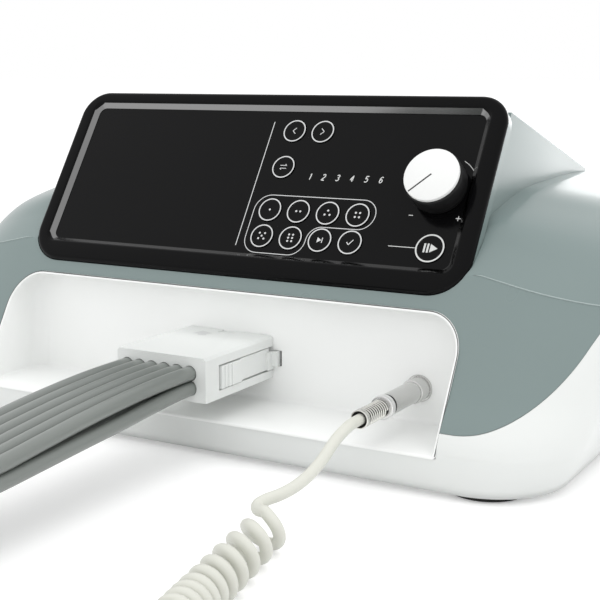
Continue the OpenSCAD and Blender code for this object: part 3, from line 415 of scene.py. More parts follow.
def tube(path, radius, n=16):
    """A circle of n points, cos a along the side and sin a against the normal, carried along the path."""
    path = np.asarray(path, float)
    _, s, b = frames(path)
    a = np.arange(n) * 2 * math.pi / n
    r = np.broadcast_to(np.asarray(radius, float), len(path))[:, None, None]
    points = path[:, None] + r * (np.cos(a)[None, :, None] * s[:, None] - np.sin(a)[None, :, None] * b[:, None])
    return points, strip(len(path), n) + ends(len(path), n)


def join(*parts):
    """Several pieces as one: the numbers in a piece's faces rise by the points that come before it."""
    points = [np.reshape(p, (-1, 3)) for p, _ in parts]
    starts = np.cumsum([0] + [len(p) for p in points]).tolist()
    return np.vstack(points), [[i + k for i in face] for (_, faces), k in zip(parts, starts) for face in faces]


row = body_rows([EDGE_LEVEL], 40)[0]
crease = np.vstack([[(128.5, row[8][1], row[8][2])], row[8:42]]) + (0, -.05, 0)
thick = .32 * np.minimum(1, np.linspace(6, 0, len(crease))) * np.minimum(1, np.linspace(.3, 20, len(crease))) + .01
add("shell_crease_painted_highlight", *join(*[tube(crease * (k, 1, 1), thick, 8) for k in (1, -1)]), CREASE_HIGHLIGHT_GREY, "upper_shell",
    replaces=False)


# ---------------------------------------------------------------- feet and screws
# Four turned rubber feet, 35 mm wide, each held under the tray by a zinc-plated screw in its counterbore.
# Screws of the same kind close the case and the hand switch.
def lathe(profile, origin, axis, n=48):
    """Turns (distance along the axis, radius) pairs round an axis through origin."""
    ax = np.array(axis, float) / np.linalg.norm(axis)
    u = np.cross(ax, (0.3, 0.2, 1.0))
    u /= np.linalg.norm(u)
    a = np.arange(n) * 2 * math.pi / n
    ring = np.cos(a)[:, None] * u + np.sin(a)[:, None] * np.cross(ax, u)
    h, r = np.array(profile, float).T[..., None, None]
    return np.array(origin, float) + ax * h + ring * r, strip(len(profile), n, flip=True)


RUBBER = Mat("foot_rubber", (0.012, 0.012, 0.012), 0.75, spec=.3).wear(.15, .08, .35, 1300)
SATIN_METAL = Mat("satin_metal", (0.70, 0.71, 0.70), 0.34, metal=1).wear(.03, .03, stretch=(1, 9, 1))
foot = [(2.5, .01), (2.5, 17.5), (.9, 17.5), (.35, 17.2), (.05, 16.4), (0, 15.5), (0, 3.7), (1.4, 3.5), (1.4, .01)]
FEET_AT = [(-144.5, -10.5), (144.5, -10.5), (-146, 178), (146, 178)]
add("feet_turned", *join(*[lathe(foot, (*at, 0), (0, 0, 1), 72) for at in FEET_AT]), RUBBER, "rubber_feet", angle=40)
finish(RUBBER, "rubber_feet")
finish(SATIN_METAL, "screws")

# ---------------------------------------------------------------- inner works
# A steel chassis plate in the tray carries the cast diaphragm pump on rubber mounts, the distributor with
# its motor and brass rotor, and the main board. Hoses lead from there to the manifold behind the bay.
SHEET_STEEL = Mat("sheet_steel", (0.55, 0.56, 0.57), 0.35, metal=1).wear(.07, .08, .12, 500, (1, 6, 1))
CAST_METAL = Mat("cast_metal", (0.60, 0.61, 0.62), 0.45, metal=1).wear(.06, .08, .4, 700)
BRASS = Mat("brass_disc", (0.70, 0.55, 0.28), 0.3, metal=1).wear(.08, .08, .15, 600)
BOARD_GREEN = Mat("board_green", (0.03, 0.16, 0.07), 0.4).wear(.3, .1, .3, 400, (1, 5, 1))
MATTE_BLACK = Mat("matte_black", (0.009, 0.009, 0.0095), 0.45, spec=.25).wear(.12, .08, .2, 1500)
HOSE_GREY = Mat("hose_grey", (0.205, 0.223, 0.21), 0.34, coat=0.3, coat_rough=0.16).wear(.05, .06)
finish(SHEET_STEEL, "chassis_plate", "pump_armature", "distributor_motor")
finish(CAST_METAL, "air_pump")
finish(RUBBER, "pump_mounts")
finish(SHELL_WHITE, "distributor")
finish(BRASS, "distributor_rotor")
finish(BOARD_GREEN, "main_board")
finish(MATTE_BLACK, "hose_manifold")
finish(HOSE_GREY, "inner_hoses")

# ---------------------------------------------------------------- hose bay
# A white liner, one moulding from its thin rim to the back wall, clipped into the opening of both shells.
# Its corners widen into the back wall; slots take the connector and its latches, a bore takes the socket.
BAY_WHITE = Mat("bay_white", (0.95, 0.96, 0.95), 0.32, coat=0.2, coat_rough=0.12).wear(.01, .05)
# near black: the painted shadow in the gap round the bay's rim
GAP_SHADE_DARK = Mat("painted_gap_shade", (.05, .055, .055), .6).wear(.1, .05)
SIDE_R, FLOOR_R = 8, 2.4    # radii at the back wall, to the sides and to floor and roof
SOCKET_X, SOCKET_Z = 102.0, 35.5


def bay_ring(depth, side=0.0, level=0.0, grow=0.0, f=None):
    """One outline of the bay, drawn in by side and level and let out by grow. It lies flat at y = depth, or
    with f at that share of the way from the leaning face, moved by depth, to the start of the back corners."""
    corner = BAY["r"] + grow - (side + level) / 2
    o = round_rect(-BAY["w"] - grow + side, BAY["w"] + grow - side, BAY["floor"] - grow + level,
                   BAY["top"] + grow - level, (1.2, 1.2, corner, corner), 14)
    y = np.full(len(o), depth) if f is None else (face_y(o[:, 1]) - 1 + depth) * (1 - f) + (BAY["back"] - SIDE_R) * f
    return np.stack([o[:, 0], y, o[:, 1]], -1)


def circle(x, y, r, n=48):
    a = np.arange(n) * 2 * math.pi / n
    return np.stack([x + r * np.cos(a), y + r * np.sin(a)], -1)


# from behind the rim, over its rounded lip, down the walls and round into the back wall
rings = [bay_ring(BAY["back"] + 1.3, grow=1.25), bay_ring(.5, grow=1.25, f=0), bay_ring(.15, grow=1.15, f=0),
         bay_ring(0, grow=.9, f=0), bay_ring(0, grow=.4, f=0), bay_ring(.15, grow=.15, f=0), bay_ring(.5, f=0),
         bay_ring(.5, f=.4), bay_ring(.5, f=.8)]
for a in np.radians(np.linspace(0, 90, 17)):
    y = BAY["back"] - SIDE_R + SIDE_R * math.sin(a)
    k = max(0, y - (BAY["back"] - FLOOR_R))
    rings.append(bay_ring(y, side=SIDE_R * (1 - math.cos(a)), level=FLOOR_R - math.sqrt(max(0, FLOOR_R**2 - k * k))))
rings = np.array(rings)
m, n = rings.shape[:2]
liner = solid("bay_liner_skin", rings, strip(m, n) + ends(m, n))
through = along_y(BAY["back"] - 1, 30)
slots = [(-19.1, 15.1, 34.7, 46.9), (-31.9, -26.4, 36.8, 44.8), (22.4, 27.9, 36.8, 44.8)]
cut(liner, *[prism(rectangle(*slot), through) for slot in slots], prism(circle(SOCKET_X, SOCKET_Z, 6.1, 40), through))
smooth(liner, 38)
fit(liner, BAY_WHITE, "bay_insert")
finish(SHELL_WHITE, "bay_insert")
# a dark strip over the gap between rim and shell, up both sides and over the top: painted shadow of the gap; the sill
# has none
upper = np.r_[29:60, 0]
gap_shade = np.array([bay_ring(-.03, grow=g, f=0)[upper] for g in (1.02, 1.38)])
add("bay_rim_painted_gap_shade", gap_shade, strip(2, len(upper), wrap_v=False), GAP_SHADE_DARK, "bay_insert", replaces=False)


# ---------------------------------------------------------------- display housing
# The blue-grey hump behind the panel, a hollow moulding with a flat roof that falls to the rear. It stands
# on the upper shell, and its foot follows the shell's surface.
def bevel(o, width, segments=2, angle=35):
    """Rounds the edges sharper than angle by width mm."""
    b = o.modifiers.new("bevel", "BEVEL")
    b.width, b.segments, b.limit_method, b.angle_limit = width / 1000, segments, "ANGLE", math.radians(angle)
    b.harden_normals = True
    smooth(o, angle)


low, high = panel(0, 2, -8.1)[1:], panel(0, 99, -8.1)[1:]
profile = np.array([low, high, (REAR - 33, 126.3), (REAR - 33, 112), (30, 72)])
hollow = profile + [(-6, 2), (-7, -1), (-2.5, -2.6), (-2.5, -20), (0, -20)]
HOUSING_W, WALL = 124.0, 2.5
housing = prism(profile, along_x(-HOUSING_W, HOUSING_W), "display_housing_skin")
cut(housing, prism(hollow, along_x(WALL - HOUSING_W, HOUSING_W - WALL)), solid("under", *closed_loft(outer)))
fit(housing, SHELL_GREY, "display_housing")
bevel(housing, 1.2, 3, 40)
finish(SHELL_GREY, "display_housing")

# ---------------------------------------------------------------- panel frame
# A gloss black frame, leaning back with the front face, clipped into the housing. Its wall behind the rim
# is sprayed like the housing, and a plated bevel leads down to the sunk fascia.
PANEL_BLACK = Mat("panel_black", (0.003, 0.003, 0.0033), 0.14, spec=0.12).wear(.1, .03)
BEZEL_BLACK = Mat("bezel_black", (0.003, 0.003, 0.0033), 0.12, spec=0.09).wear(.1, .03)
PLATED = Mat("panel_edge", (.22, .22, .22), 0.14, metal=1).wear(.1, .03)
FRAME_W, FRAME_H, LIP = 126, 103.7, 2.6


def frame_ring(half, v0, v1, r_low, r_top, w):
    o = round_rect(-half, half, v0, v1, (r_low, r_low, r_top, r_top), 16)
    return panel(o[:, 0], o[:, 1], w)


# back edge, round the lip, over the flat rim, down into the pocket and out behind it
rings = [frame_ring(FRAME_W, 0, FRAME_H, 19, 15, -8)]
for a in np.radians(np.linspace(0, 90, 9)):
    k = LIP * (1 - math.cos(a))
    rings.append(frame_ring(FRAME_W - k, k, FRAME_H - k, 19 - k, 15 - k, LIP * math.sin(a) - LIP))
rings += [frame_ring(118.6, 9.9, 97.6, 6, 6, 0.0), frame_ring(118.1, 10.4, 97.1, 5.6, 5.6, -.1),
          frame_ring(115, 13.5, 94, 4, 4, -2.9), frame_ring(118.3, 10.2, 97.3, 7.3, 7.3, -2.9),
          frame_ring(118.3, 10.2, 97.3, 7.3, 7.3, -8)]
m, n = len(rings), len(rings[0])
add("panel_bezel_gloss", np.array(rings), strip(m, n, wrap_u=True), BEZEL_BLACK, "panel_bezel", angle=40)
flank = np.array([frame_ring(FRAME_W + .03, -.03, FRAME_H + .03, 19, 15, w) for w in (-3.1, -8)])
add("panel_bezel_flank", flank, strip(2, n, flip=True), SHELL_GREY, "panel_bezel", replaces=False, angle=40)
edge = np.array([frame_ring(117.5, 11.0, 96.5, 5.1, 5.1, -.63), frame_ring(115.15, 13.35, 94.15, 4.1, 4.1, -2.67)])
add("panel_bezel_edge", edge, strip(2, n), PLATED, "panel_bezel", replaces=False, angle=40)
finish(PANEL_BLACK, "panel_bezel", "fascia")

# ---------------------------------------------------------------- keys and fascia
# Twelve round black keys with signs slide in the bores of a gloss acrylic fascia and press the switches of the
# key board behind it. The start key's ring is printed; the light rings on the other keys are painted highlights
# of their edges. The fascia carries digits over the six indicator lamps.
PRINT = Mat("print_white", (0.72, 0.73, 0.72), 0.5).wear(.06, .08)
# dim print, and also the light rings on eleven keys, which are painted highlights of their edges
PRINT_DIM_AND_KEY_HIGHLIGHT = Mat("print_dim_and_painted_key_highlight", (0.66, 0.67, 0.67), 0.5).wear(.08, .08)
OUTWARD = panel(0, 0, 1) - panel(0, 0, 0)
FASCIA_TOP, KEY_TOP, PROUD = -2.95, -2.31, .03      # prints and painted ring highlights lie PROUD mm over their face
COLUMN = [13.8, 30.06, 46.32, 62.58]
ROW = [23.3, 37.8, 61.9, 82.7]
KEYS = {"key_back": (COLUMN[0], ROW[3]), "key_forward": (COLUMN[1], ROW[3]), "key_reverse": (COLUMN[0], ROW[2]),
        "key_mode_a": (COLUMN[0], ROW[1]), "key_mode_b": (COLUMN[1], ROW[1]), "key_mode_c": (COLUMN[2], ROW[1]),
        "key_mode_d": (COLUMN[3], ROW[1]), "key_mode_e": (COLUMN[0], ROW[0]), "key_mode_f": (COLUMN[1], ROW[0]),
        "key_skip": (COLUMN[2], ROW[0]), "key_confirm": (COLUMN[3], ROW[0]), "key_start": (103.7, 23.4)}


def marks(name, shapes, mat, node, place, body="root"):
    """Thin marks, print and the painted highlights on the keys: shapes are flat polygons, or (outer, inner) pairs of
    outlines with as many points for rings.
    """
    points, faces, k = [], [], 0
    for s in shapes:
        if isinstance(s, tuple):
            n = len(s[0])
            faces += (np.array(strip(2, n)) + k).tolist()
        else:
            n, s = len(s), (s,)
            faces.append([*range(k, k + n)])
        points += [place(np.array(outline, float)) for outline in s]
        k += n * len(s)
    fit(new_object(name, np.vstack(points), faces), mat, node, body, replaces=False)


def line(points, w):
    """A flat stroke of width w: one quad to each step, half the width to either side of it."""
    p = np.asarray(points, float)
    step = np.diff(p, axis=0)
    side = step[:, ::-1] * (-1, 1) / np.linalg.norm(step, axis=1)[:, None] * w / 2
    return list(np.stack([p[:-1] + side, p[:-1] - side, p[1:] - side, p[1:] + side], 1))


SIGNS = {"key_back": line([(.9, 1.7), (-.9, 0), (.9, -1.7)], .4),
         "key_forward": line([(-.9, 1.7), (.9, 0), (-.9, -1.7)], .4),
         "key_reverse": (line([(-1.9, .8), (1.8, .8), (.9, 1.6)], .35)
                         + line([(1.9, -.8), (-1.8, -.8), (-.9, -1.6)], .35)),
         "key_skip": [[(-1.3, 1.4), (-1.3, -1.4), (1.0, 0)]] + line([(1.4, 1.4), (1.4, -1.4)], .45),
         "key_confirm": line([(-1.6, 0), (-.4, -1.3), (1.7, 1.4)], .45),
         "key_start": ([[(.2, 2.2), (.2, -2.2), (3.9, 0)]] + line([(-2.6, 2.3), (-2.6, -2.3)], .95)
                       + line([(-.95, 2.3), (-.95, -2.3)], .95))}
# the programme keys carry one to six dots
DOTS = {"a": [(0, 0)], "b": [(-.9, 0), (.9, 0)], "c": [(-1.1, -.7), (1.1, -.7), (0, 1.1)],
        "d": [(-.9, -.9), (.9, -.9), (-.9, .9), (.9, .9)],
        "e": [(-1.2, -1.2), (1.2, -1.2), (-1.2, 1.2), (1.2, 1.2), (0, 0)],
        "f": [(-.9, -1.4), (.9, -1.4), (-.9, 0), (.9, 0), (-.9, 1.4), (.9, 1.4)]}
for letter, dots in DOTS.items():
    SIGNS["key_mode_" + letter] = [circle(a * 1.25, b * 1.25, .55, 14) for a, b in dots]

for name, (x, y) in KEYS.items():
    start = name == "key_start"
    r = 7.2 if start else 6.3
    cap = [(-6.2, 0.001), (-6.2, r + .8), (-5.2, r + .8), (-5.2, r), (KEY_TOP - .55, r)]
    cap += [(KEY_TOP - .5 * (1 - math.sin(a)), r - .5 * (1 - math.cos(a))) for a in np.radians((15, 40, 65, 90))]
    cap += [(KEY_TOP - .02, r * .75), (KEY_TOP - .12, r * .4), (KEY_TOP - .16, .001)]
    add(name + "_cap", *lathe(cap, panel(x, y, 0), OUTWARD, 56), PANEL_BLACK, name, name, angle=50)
    # the start key's ring is print; the dimmer rings of the other keys are painted highlights of their edges
    n, wide, mat = (64, .75, PRINT) if start else (56, .62, PRINT_DIM_AND_KEY_HIGHLIGHT)
    ring = (circle(x, y, r - .1, n), circle(x, y, r - .1 - wide, n))
    marks(name + "_ring", [ring], mat, name, on_panel(KEY_TOP + PROUD), name)
    marks(name + "_sign", [np.add(s, (x, y)) for s in SIGNS[name]], mat, name, on_panel(KEY_TOP + PROUD), name)
finish(PANEL_BLACK, *KEYS)
finish(BOARD_GREEN, "key_board")

# each digit is one slanted stroke through points of a cell, 2 wide and 4 high
DIGITS = [[(1.0, 3.4), (1.6, 4), (1.6, 0)], [(0.1, 3.3), (.5, 3.9), (1.4, 4), (1.9, 3.4), (1.8, 2.5), (0, 0), (2, 0)],
          [(.1, 3.5), (.7, 4), (1.5, 3.9), (1.9, 3.2), (1.5, 2.3), (.9, 2.1), (1.6, 1.9), (2, 1.1), (1.6, .2), (.8, 0),
           (.1, .5)],
          [(1.5, 0), (1.5, 4), (0, 1.2), (2.1, 1.2)],
          [(1.9, 4), (.4, 4), (.2, 2.2), (1.1, 2.5), (1.9, 1.9), (1.9, .8), (1.2, 0), (.1, .3)],
          [(1.8, 3.7), (1, 4), (.3, 3.1), (.1, 1.4), (.5, .2), (1.2, 0), (1.9, .7), (1.8, 1.8), (1.1, 2.3),
           (.3, 1.8)]]
DIGIT_H, SLANT = 3.2, .2
KNOB_X, KNOB_Y = 101.4, 54
prints = []
for i, stroke in enumerate(DIGITS):
    a, b = np.array(stroke, float).T
    cell = np.stack([a - 1 + SLANT * (b - 2), b - 2], -1) * DIGIT_H / 4
    prints += line(cell + (30.2 + 7.85 * i, 57.4), .5)
prints += line([(82.5, 23.3), (96.4, 23.3)], .35)
# the dial's arc with its arrow, and a minus and a plus at its ends
a = np.radians(np.linspace(62, 22, 17))
prints += line(np.stack([KNOB_X + 17.2 * np.cos(a), KNOB_Y + 17.2 * np.sin(a)], -1), .3)
prints += line([(115.9, 62.9), (117.3, 60.3), (117.8, 63.4)], .3)
prints += line([(88.6, 39.7), (90.8, 39.7)], .4)
prints += line([(112.3, 39.5), (114.7, 39.5)], .4) + line([(113.5, 38.3), (113.5, 40.7)], .4)
marks("fascia_print", prints, PRINT, "fascia", on_panel(FASCIA_TOP + PROUD))
# a rule beside the display field, and one outline round the programme keys: (x, y, radius) of its corners
corners = [(4.3, 46.2, 8.5), (71.7, 46.2, 7.8), (71.7, 30.4, 7.8), (38.4, 30.4, 7), (38.4, 14.4, 8), (4.3, 14.4, 8)]
quarter = np.radians(np.linspace(0, 90, 10))[:, None]
group = []
for (ax, ay, _), (x, y, r), (bx, by, _) in zip(corners[-1:] + corners[:-1], corners, corners[1:] + corners[:1]):
    a, b = np.sign((ax - x, ay - y)) * r, np.sign((bx - x, by - y)) * r
    group.append((x, y) + a + b - b * np.cos(quarter) - a * np.sin(quarter))
group = np.vstack(group + group[0][:1].tolist())
marks("fascia_lines", line([(.2, 17.4), (.2, 88)], .45) + line(group, .4), PRINT_DIM_AND_KEY_HIGHLIGHT, "fascia",
      on_panel(FASCIA_TOP + PROUD))

# ---------------------------------------------------------------- pressure knob
# A white face plate on a turned gloss black skirt, pushed on the shaft of the pressure control behind the
# fascia. A dark line on the face is its pointer; the low end of the dial is at 226 degrees.
KNOB_WHITE = Mat("knob_white", (0.88, 0.89, 0.88), 0.35).wear(.01, .04)
PRINT_DARK = Mat("print_dark", (0.03, 0.03, 0.03), 0.5).wear(.1, .08)
skirt = [(-2.3, 5.0), (-2.3, 13), (.5, 13), (.5, 13.9), (.8, 14.15), (8.5, 14.15), (9.4, 13.95), (9.75, 13.5),
         (9.8, 12), (9.8, .01)]
face = [(9.8, .01), (9.8, 13.4), (11.2, 13.4), (11.45, 13.3), (11.6, 13.0), (11.6, .01)]
KNOB_FOOT = panel(KNOB_X, KNOB_Y, 0)
add("knob_skirt_gloss", *lathe(skirt, KNOB_FOOT, OUTWARD, 96), MATTE_BLACK, "knob_skirt", "knob", angle=50)
add("knob_face", *lathe(face, KNOB_FOOT, OUTWARD, 96), KNOB_WHITE, "knob_cap", "knob", angle=50)
way = np.array([math.cos(math.radians(226)), math.sin(math.radians(226))])
pointer = line([way * r + (KNOB_X, KNOB_Y) for r in (-.3, 12.9)], .75)
marks("knob_pointer", pointer, PRINT_DARK, "knob_cap", on_panel(11.63), "knob")
finish(MATTE_BLACK, "knob_skirt")
finish(KNOB_WHITE, "knob_cap")
finish(SHEET_STEEL, "pressure_control")


# ---------------------------------------------------------------- rear fittings
# Black mouldings snapped into the openings of the rear wall: mains inlet with its fuse drawer, power switch
# frame with its rocker on a pin, and the vent grille. They keep their CAD shape, with eased edges.
def eased(node, name, mat, width, segments=2, angle=30, body="root"):
    """A welded copy of the node's mesh with its edges rounded by width mm."""
    finish(mat, node)
    bm = bmesh.new()
    bm.from_mesh(NODES[node].data)
    bmesh.ops.transform(bm, matrix=NODES[node].matrix_world, verts=bm.verts)
    bmesh.ops.remove_doubles(bm, verts=bm.verts, dist=1e-6)
    bmesh.ops.dissolve_limit(bm, angle_limit=math.radians(1.0), verts=bm.verts, edges=bm.edges)
    me = bpy.data.meshes.new(name)
    bm.to_mesh(me)
    bm.free()
    o = fit(link(bpy.data.objects.new(name, me)), mat, node, body)
    bevel(o, width, segments, angle)


eased("mains_inlet", "mains_inlet_moulding", MATTE_BLACK, 0.35)
eased("switch_frame", "rocker_frame", MATTE_BLACK, 0.35)
eased("power_rocker", "rocker_key", MATTE_BLACK, 0.3, body="power_rocker")
eased("vent_grille", "rear_grille", MATTE_BLACK, 0.4)

# ---------------------------------------------------------------- hose connector
# A white block that takes all twelve hoses and plugs into the manifold. A latch on a pin at each side has a
# ribbed finger pad in front and a nose behind, which goes through its slot in the bay's back wall.
eased("hose_connector", "connector_block", SHELL_WHITE, 0.7, 3)
CONNECTOR_X = -2
NOSE = [(24.3, 7), (28.9, 7), (28.9, 10.2), (28.0, 14), (24.3, 14)]
for side, latch in ((-1, "latch_left"), (1, "latch_right")):
    eased(latch, latch + "_lever", SHELL_WHITE, 0.35, body=latch)
    nose = prism([(CONNECTOR_X + side * a, b) for a, b in NOSE], along_z(37.1, 44.5), latch + "_nose")
    fit(nose, SHELL_WHITE, latch, latch, replaces=False)
    bevel(nose, .3)
ARROW = [(-14.4, -5.5), (-13.4, 2.3), (-5.5, -0.9), (-7.8, -2.8), (-5.9, -6.1), (-9.9, -7.6), (-11.6, -4.7)]
marks("connector_arrow", [ARROW], PRINT_DIM_AND_KEY_HIGHLIGHT, "hose_connector", lambda p: along_z(52.03, 0)(p, 0))


# ---------------------------------------------------------------- socket and plug of the hand switch
# A turned metal plug sits in a socket whose collar holds it from behind the bay's back wall. A coil spring
# and a short metal sleeve guide the cord out of it; black in the sleeve's mouth and between the coils is painted
# shade.
def jack(profile, n=48):
    """Turns (y, radius) pairs, from the wall towards the viewer, round the socket's axis."""
    return lathe([(-y, r) for y, r in profile], (SOCKET_X, 0, SOCKET_Z), (0, -1, 0), n)


PLUG_METAL = Mat("plug_metal", (.62, .62, .61), 0.22, metal=1).wear(.03, .04)
CHROME = Mat("chrome_ring", (0.8, 0.8, 0.8), 0.08, metal=1).wear(.02, .03, .03)
SPRING_METAL = Mat("spring_metal", (0.68, 0.675, 0.64), 0.2, metal=1).wear(.1, .05)
flange = [(25, .01), (25, 6), (15.1, 6), (15.1, 8), (12.2, 8), (12.2, 6), (9.9, 6), (9.9, 6.5), (9.4, 6.45),
          (9.15, 6.2), (9.1, 3.3), (23.9, 3.2), (23.9, .01)]
body = [(22, .01), (21.6, 2), (20, 3), (9.05, 3), (9.05, 5.5), (8.85, 5.65), (2.0, 5.65), (1.6, 5.5), (1.4, 5.0),
        (-22.8, 5.0), (-24, 4.85), (-26, 4.4), (-26.0, 5.1), (-26.3, 5.35), (-26.7, 5.4), (-28.9, 5.4), (-29.4, 5.3),
        (-29.6, 5.0), (-29.6, 4.3), (-30.9, 4.25), (-30.9, .01)]
band = [(-26.25, 5.36), (-26.35, 5.45), (-26.7, 5.5), (-28.9, 5.5), (-29.35, 5.42), (-29.55, 5.2)]
# a black band on the taper beside the ring: painted shade of a groove
groove_shade = [(-24.1, 4.9), (-24.6, 4.85), (-25.9, 4.6)]
sleeve = [(-47.9, 2.56), (-47.9, 4.0), (-48.2, 4.2), (-50.3, 4.2), (-50.8, 4.1), (-51.0, 3.85), (-51.0, 3.75),
          (-50.8, 3.6)]
# black inside the mouth of the sleeve: painted shade
mouth_shade = [(-50.8, 3.6), (-49.9, 2.56)]
# a black tube round the cord, seen between the coils and in the sleeve: painted shade inside them
shade_lining = [(-31.2, 2.5), (-31.2, 2.95), (-48.2, 2.95), (-48.2, 2.5)]
add("cord_socket_flange", *jack(flange), PLUG_METAL, "cord_socket", angle=40)
add("cord_plug_body", *jack(body, 64), PLUG_METAL, "cord_plug", angle=35)
add("cord_plug_ring", *jack(band, 64), CHROME, "cord_plug", replaces=False, angle=35)
add("cord_plug_painted_groove_shade", *jack(groove_shade), MATTE_BLACK, "cord_plug", replaces=False)
TURNS, WIRE, MEAN, PITCH = 9, 0.9, 7.3, 1.84
a = np.radians(np.linspace(0, 360 * TURNS, 36 * TURNS + 1))
coil = np.stack([SOCKET_X + MEAN / 2 * np.cos(a), -31 - WIRE / 2 - PITCH * a / (2 * math.pi),
                 SOCKET_Z + MEAN / 2 * np.sin(a)], -1)
add("plug_spring_wire", *tube(coil, WIRE / 2, 10), SPRING_METAL, "plug_spring")
add("plug_sleeve_mouth", *jack(sleeve), SPRING_METAL, "plug_sleeve", angle=40)
add("plug_sleeve_painted_mouth_shade", *jack(mouth_shade), MATTE_BLACK, "plug_sleeve", replaces=False)
add("plug_sleeve_painted_shade_lining", *jack(shade_lining, 32), MATTE_BLACK, "plug_sleeve", replaces=False, angle=40)
finish(MATTE_BLACK, "cord_socket", "plug_sleeve")
finish(SATIN_METAL, "cord_plug")
finish(SPRING_METAL, "plug_spring")

# ---------------------------------------------------------------- hand switch
# Two white shells screwed together hold the inner switch; a blue push button stands out of the front end
# and a ribbed rubber relief leads the cord in. It lies on the table at the far end of its cord.
BUTTON_BLUE = Mat("button_blue", (0.08, 0.2, 0.42), 0.25).wear(.05, .05, .04)
eased("grip_top", "hand_switch_top", SHELL_WHITE, 0.4, 2, 40)
eased("grip_bottom", "hand_switch_bottom", SHELL_WHITE, 0.4, 2, 40)
eased("grip_button", "hand_switch_button", BUTTON_BLUE, 0.5, 3, 40, body="grip_button")
eased("grip_relief", "hand_switch_relief", RUBBER, 0.2, 2, 40)
finish(MATTE_BLACK, "grip_switch")

# ---------------------------------------------------------------- curly cord
# A cream PVC cord, 4.9 mm thick, heat-set into 31 curls. It drops from the plug's sleeve to the table; the
# first curls are drawn open, the rest lie closed, and a straight end runs into the hand switch.
CORD_CREAM = Mat("cord_cream", (0.70, 0.705, 0.64), 0.42, coat=0.12, coat_rough=0.2).wear(.03, .06)
CORD, CURL, CURLS = 4.9, 12.8, 31           # thickness, mean width of a curl, their number
OPEN, SHUT, FADE, LEAN = 16.4, 5.6, 0.73, 7.4
LEAN_AT = math.radians(131.2)
CURL_Z = CURL / 2 + CORD / 2 + .15
COIL_START = np.array([96.36, -110.4, CURL_Z])
ALONG = np.array([.1977, -.9803, 0]) / math.hypot(.1977, .9803)
ACROSS = np.array([ALONG[1], -ALONG[0], 0])


def smooth_path(points, per):
    """Catmull-Rom: between two points the cubic whose slope at each is half the step between its neighbours."""
    p = np.asarray(points, float)
    q = np.vstack([2 * p[0] - p[1], p, 2 * p[-1] - p[-2]])[:, None]
    a, b, c, d = (q[k:len(q) - 3 + k] for k in range(4))
    t = (np.arange(per) / per)[None, :, None]
    run = 0.5 * (2 * b + (c - a) * t + (2 * a - 5 * b + 4 * c - d) * t * t + (3 * b - a - 3 * c + d) * t ** 3)
    return np.vstack([run.reshape(-1, p.shape[1]), p[-1]])


def curls(n):
    """The coil at curl counts n. Its advance to a curl falls from OPEN to SHUT by 2 FADE a curl and then stays;
    open curls lean by LEAN, less and less, and the radius dies out over the last .9 curl."""
    last = (OPEN - SHUT) / 2 / FADE
    way = np.where(n < last, OPEN * n - FADE * n * n, OPEN * last - FADE * last * last + SHUT * (n - last))
    u = np.clip((CURLS - n) / .9, 0, 1)
    a = 2 * math.pi * n
    along = way + LEAN * np.maximum(0, 1 - n / last) * np.cos(a - LEAN_AT)
    around = ACROSS * np.cos(a)[:, None] + np.array([0, 0, 1.0]) * np.sin(a)[:, None]
    return COIL_START + ALONG * along[:, None] + around * (CURL / 2 * u * u * (3 - 2 * u))[:, None], way[-1]


helix, way = curls(np.concatenate([[.3], np.arange(8, CURLS * 24 + 1) / 24]))
into = (helix[1] - helix[0]) / np.linalg.norm(helix[1] - helix[0])
CORD_EXIT = (SOCKET_X, -30.9, SOCKET_Z)
lead = [CORD_EXIT, (SOCKET_X, -42, SOCKET_Z), (SOCKET_X, -52, SOCKET_Z), (102, -61, 34.9), (101.4, -71, 31.5),
        (101.5, -82, 26.5), (100.5, -90, 22.8), (99.4, -96, 20.7), (97.8, -101.5, 19.2), (95.6, -106.5, 18.1),
        (92.9, -110.6, 17.2), (91.3, -114.2, 16), (93.2, -117.4, 15.4), helix[0] - into * 3, helix[0]]
ex, ey, _ = end = COIL_START + ALONG * (way + CORD)
GRIP_X, GRIP_Y, GRIP_Z = 176.0, -306.0, 11.1
tail = [end, (ex + 2.2, ey - 9, CURL_Z), (ex + 7.5, ey - 18, CURL_Z), (ex + 17, ey - 23.5, 10),
        (GRIP_X - 14, ey - 23, 10.6), (GRIP_X - 4.5, ey - 17, GRIP_Z - .4), (GRIP_X - .4, ey - 8, GRIP_Z),
        (GRIP_X, GRIP_Y - 13, GRIP_Z), (GRIP_X, GRIP_Y + 6, GRIP_Z)]
cord_line = np.vstack([smooth_path(lead, 6), helix, smooth_path(tail, 6)])
cord_line = cord_line[np.r_[True, np.linalg.norm(np.diff(cord_line, axis=0), axis=1) > .05]]
curly = add("hand_switch_cord", *tube(cord_line, CORD / 2, 14), CORD_CREAM, ["cord_lead", "cord_curls", "cord_tail"])
finish(CORD_CREAM, "cord_lead", "cord_curls", "cord_tail")

# ---------------------------------------------------------------- air hoses
# Twelve grey PVC hoses, extruded side by side as two flat ribbons of six joined by thin webs. They leave the
# connector, turn on edge and lie rolled up on the table, tied with a strap, with a garment plug at each end.
TIE_BLACK = Mat("tie_black", (0.022, 0.022, 0.024), 0.95, spec=.2).wear(.3, .04, .6, 1600, (1, 1, 2))
HOSE, HOSE_PITCH, HOSES = 6.8, 7.1, 6
RIBBON_W = (HOSES - 1) * HOSE_PITCH + HOSE
ROLL_Z, ROLL_X, ROLL_Y, ROLL_LONG, ROLL_STEP = RIBBON_W / 2 + 1.3, -3.5, -300.0, 56.0, 8.2
ROLL_R = 27             # the innermost bend of the roll
MID = 40.8              # height between the two ribbons at the connector
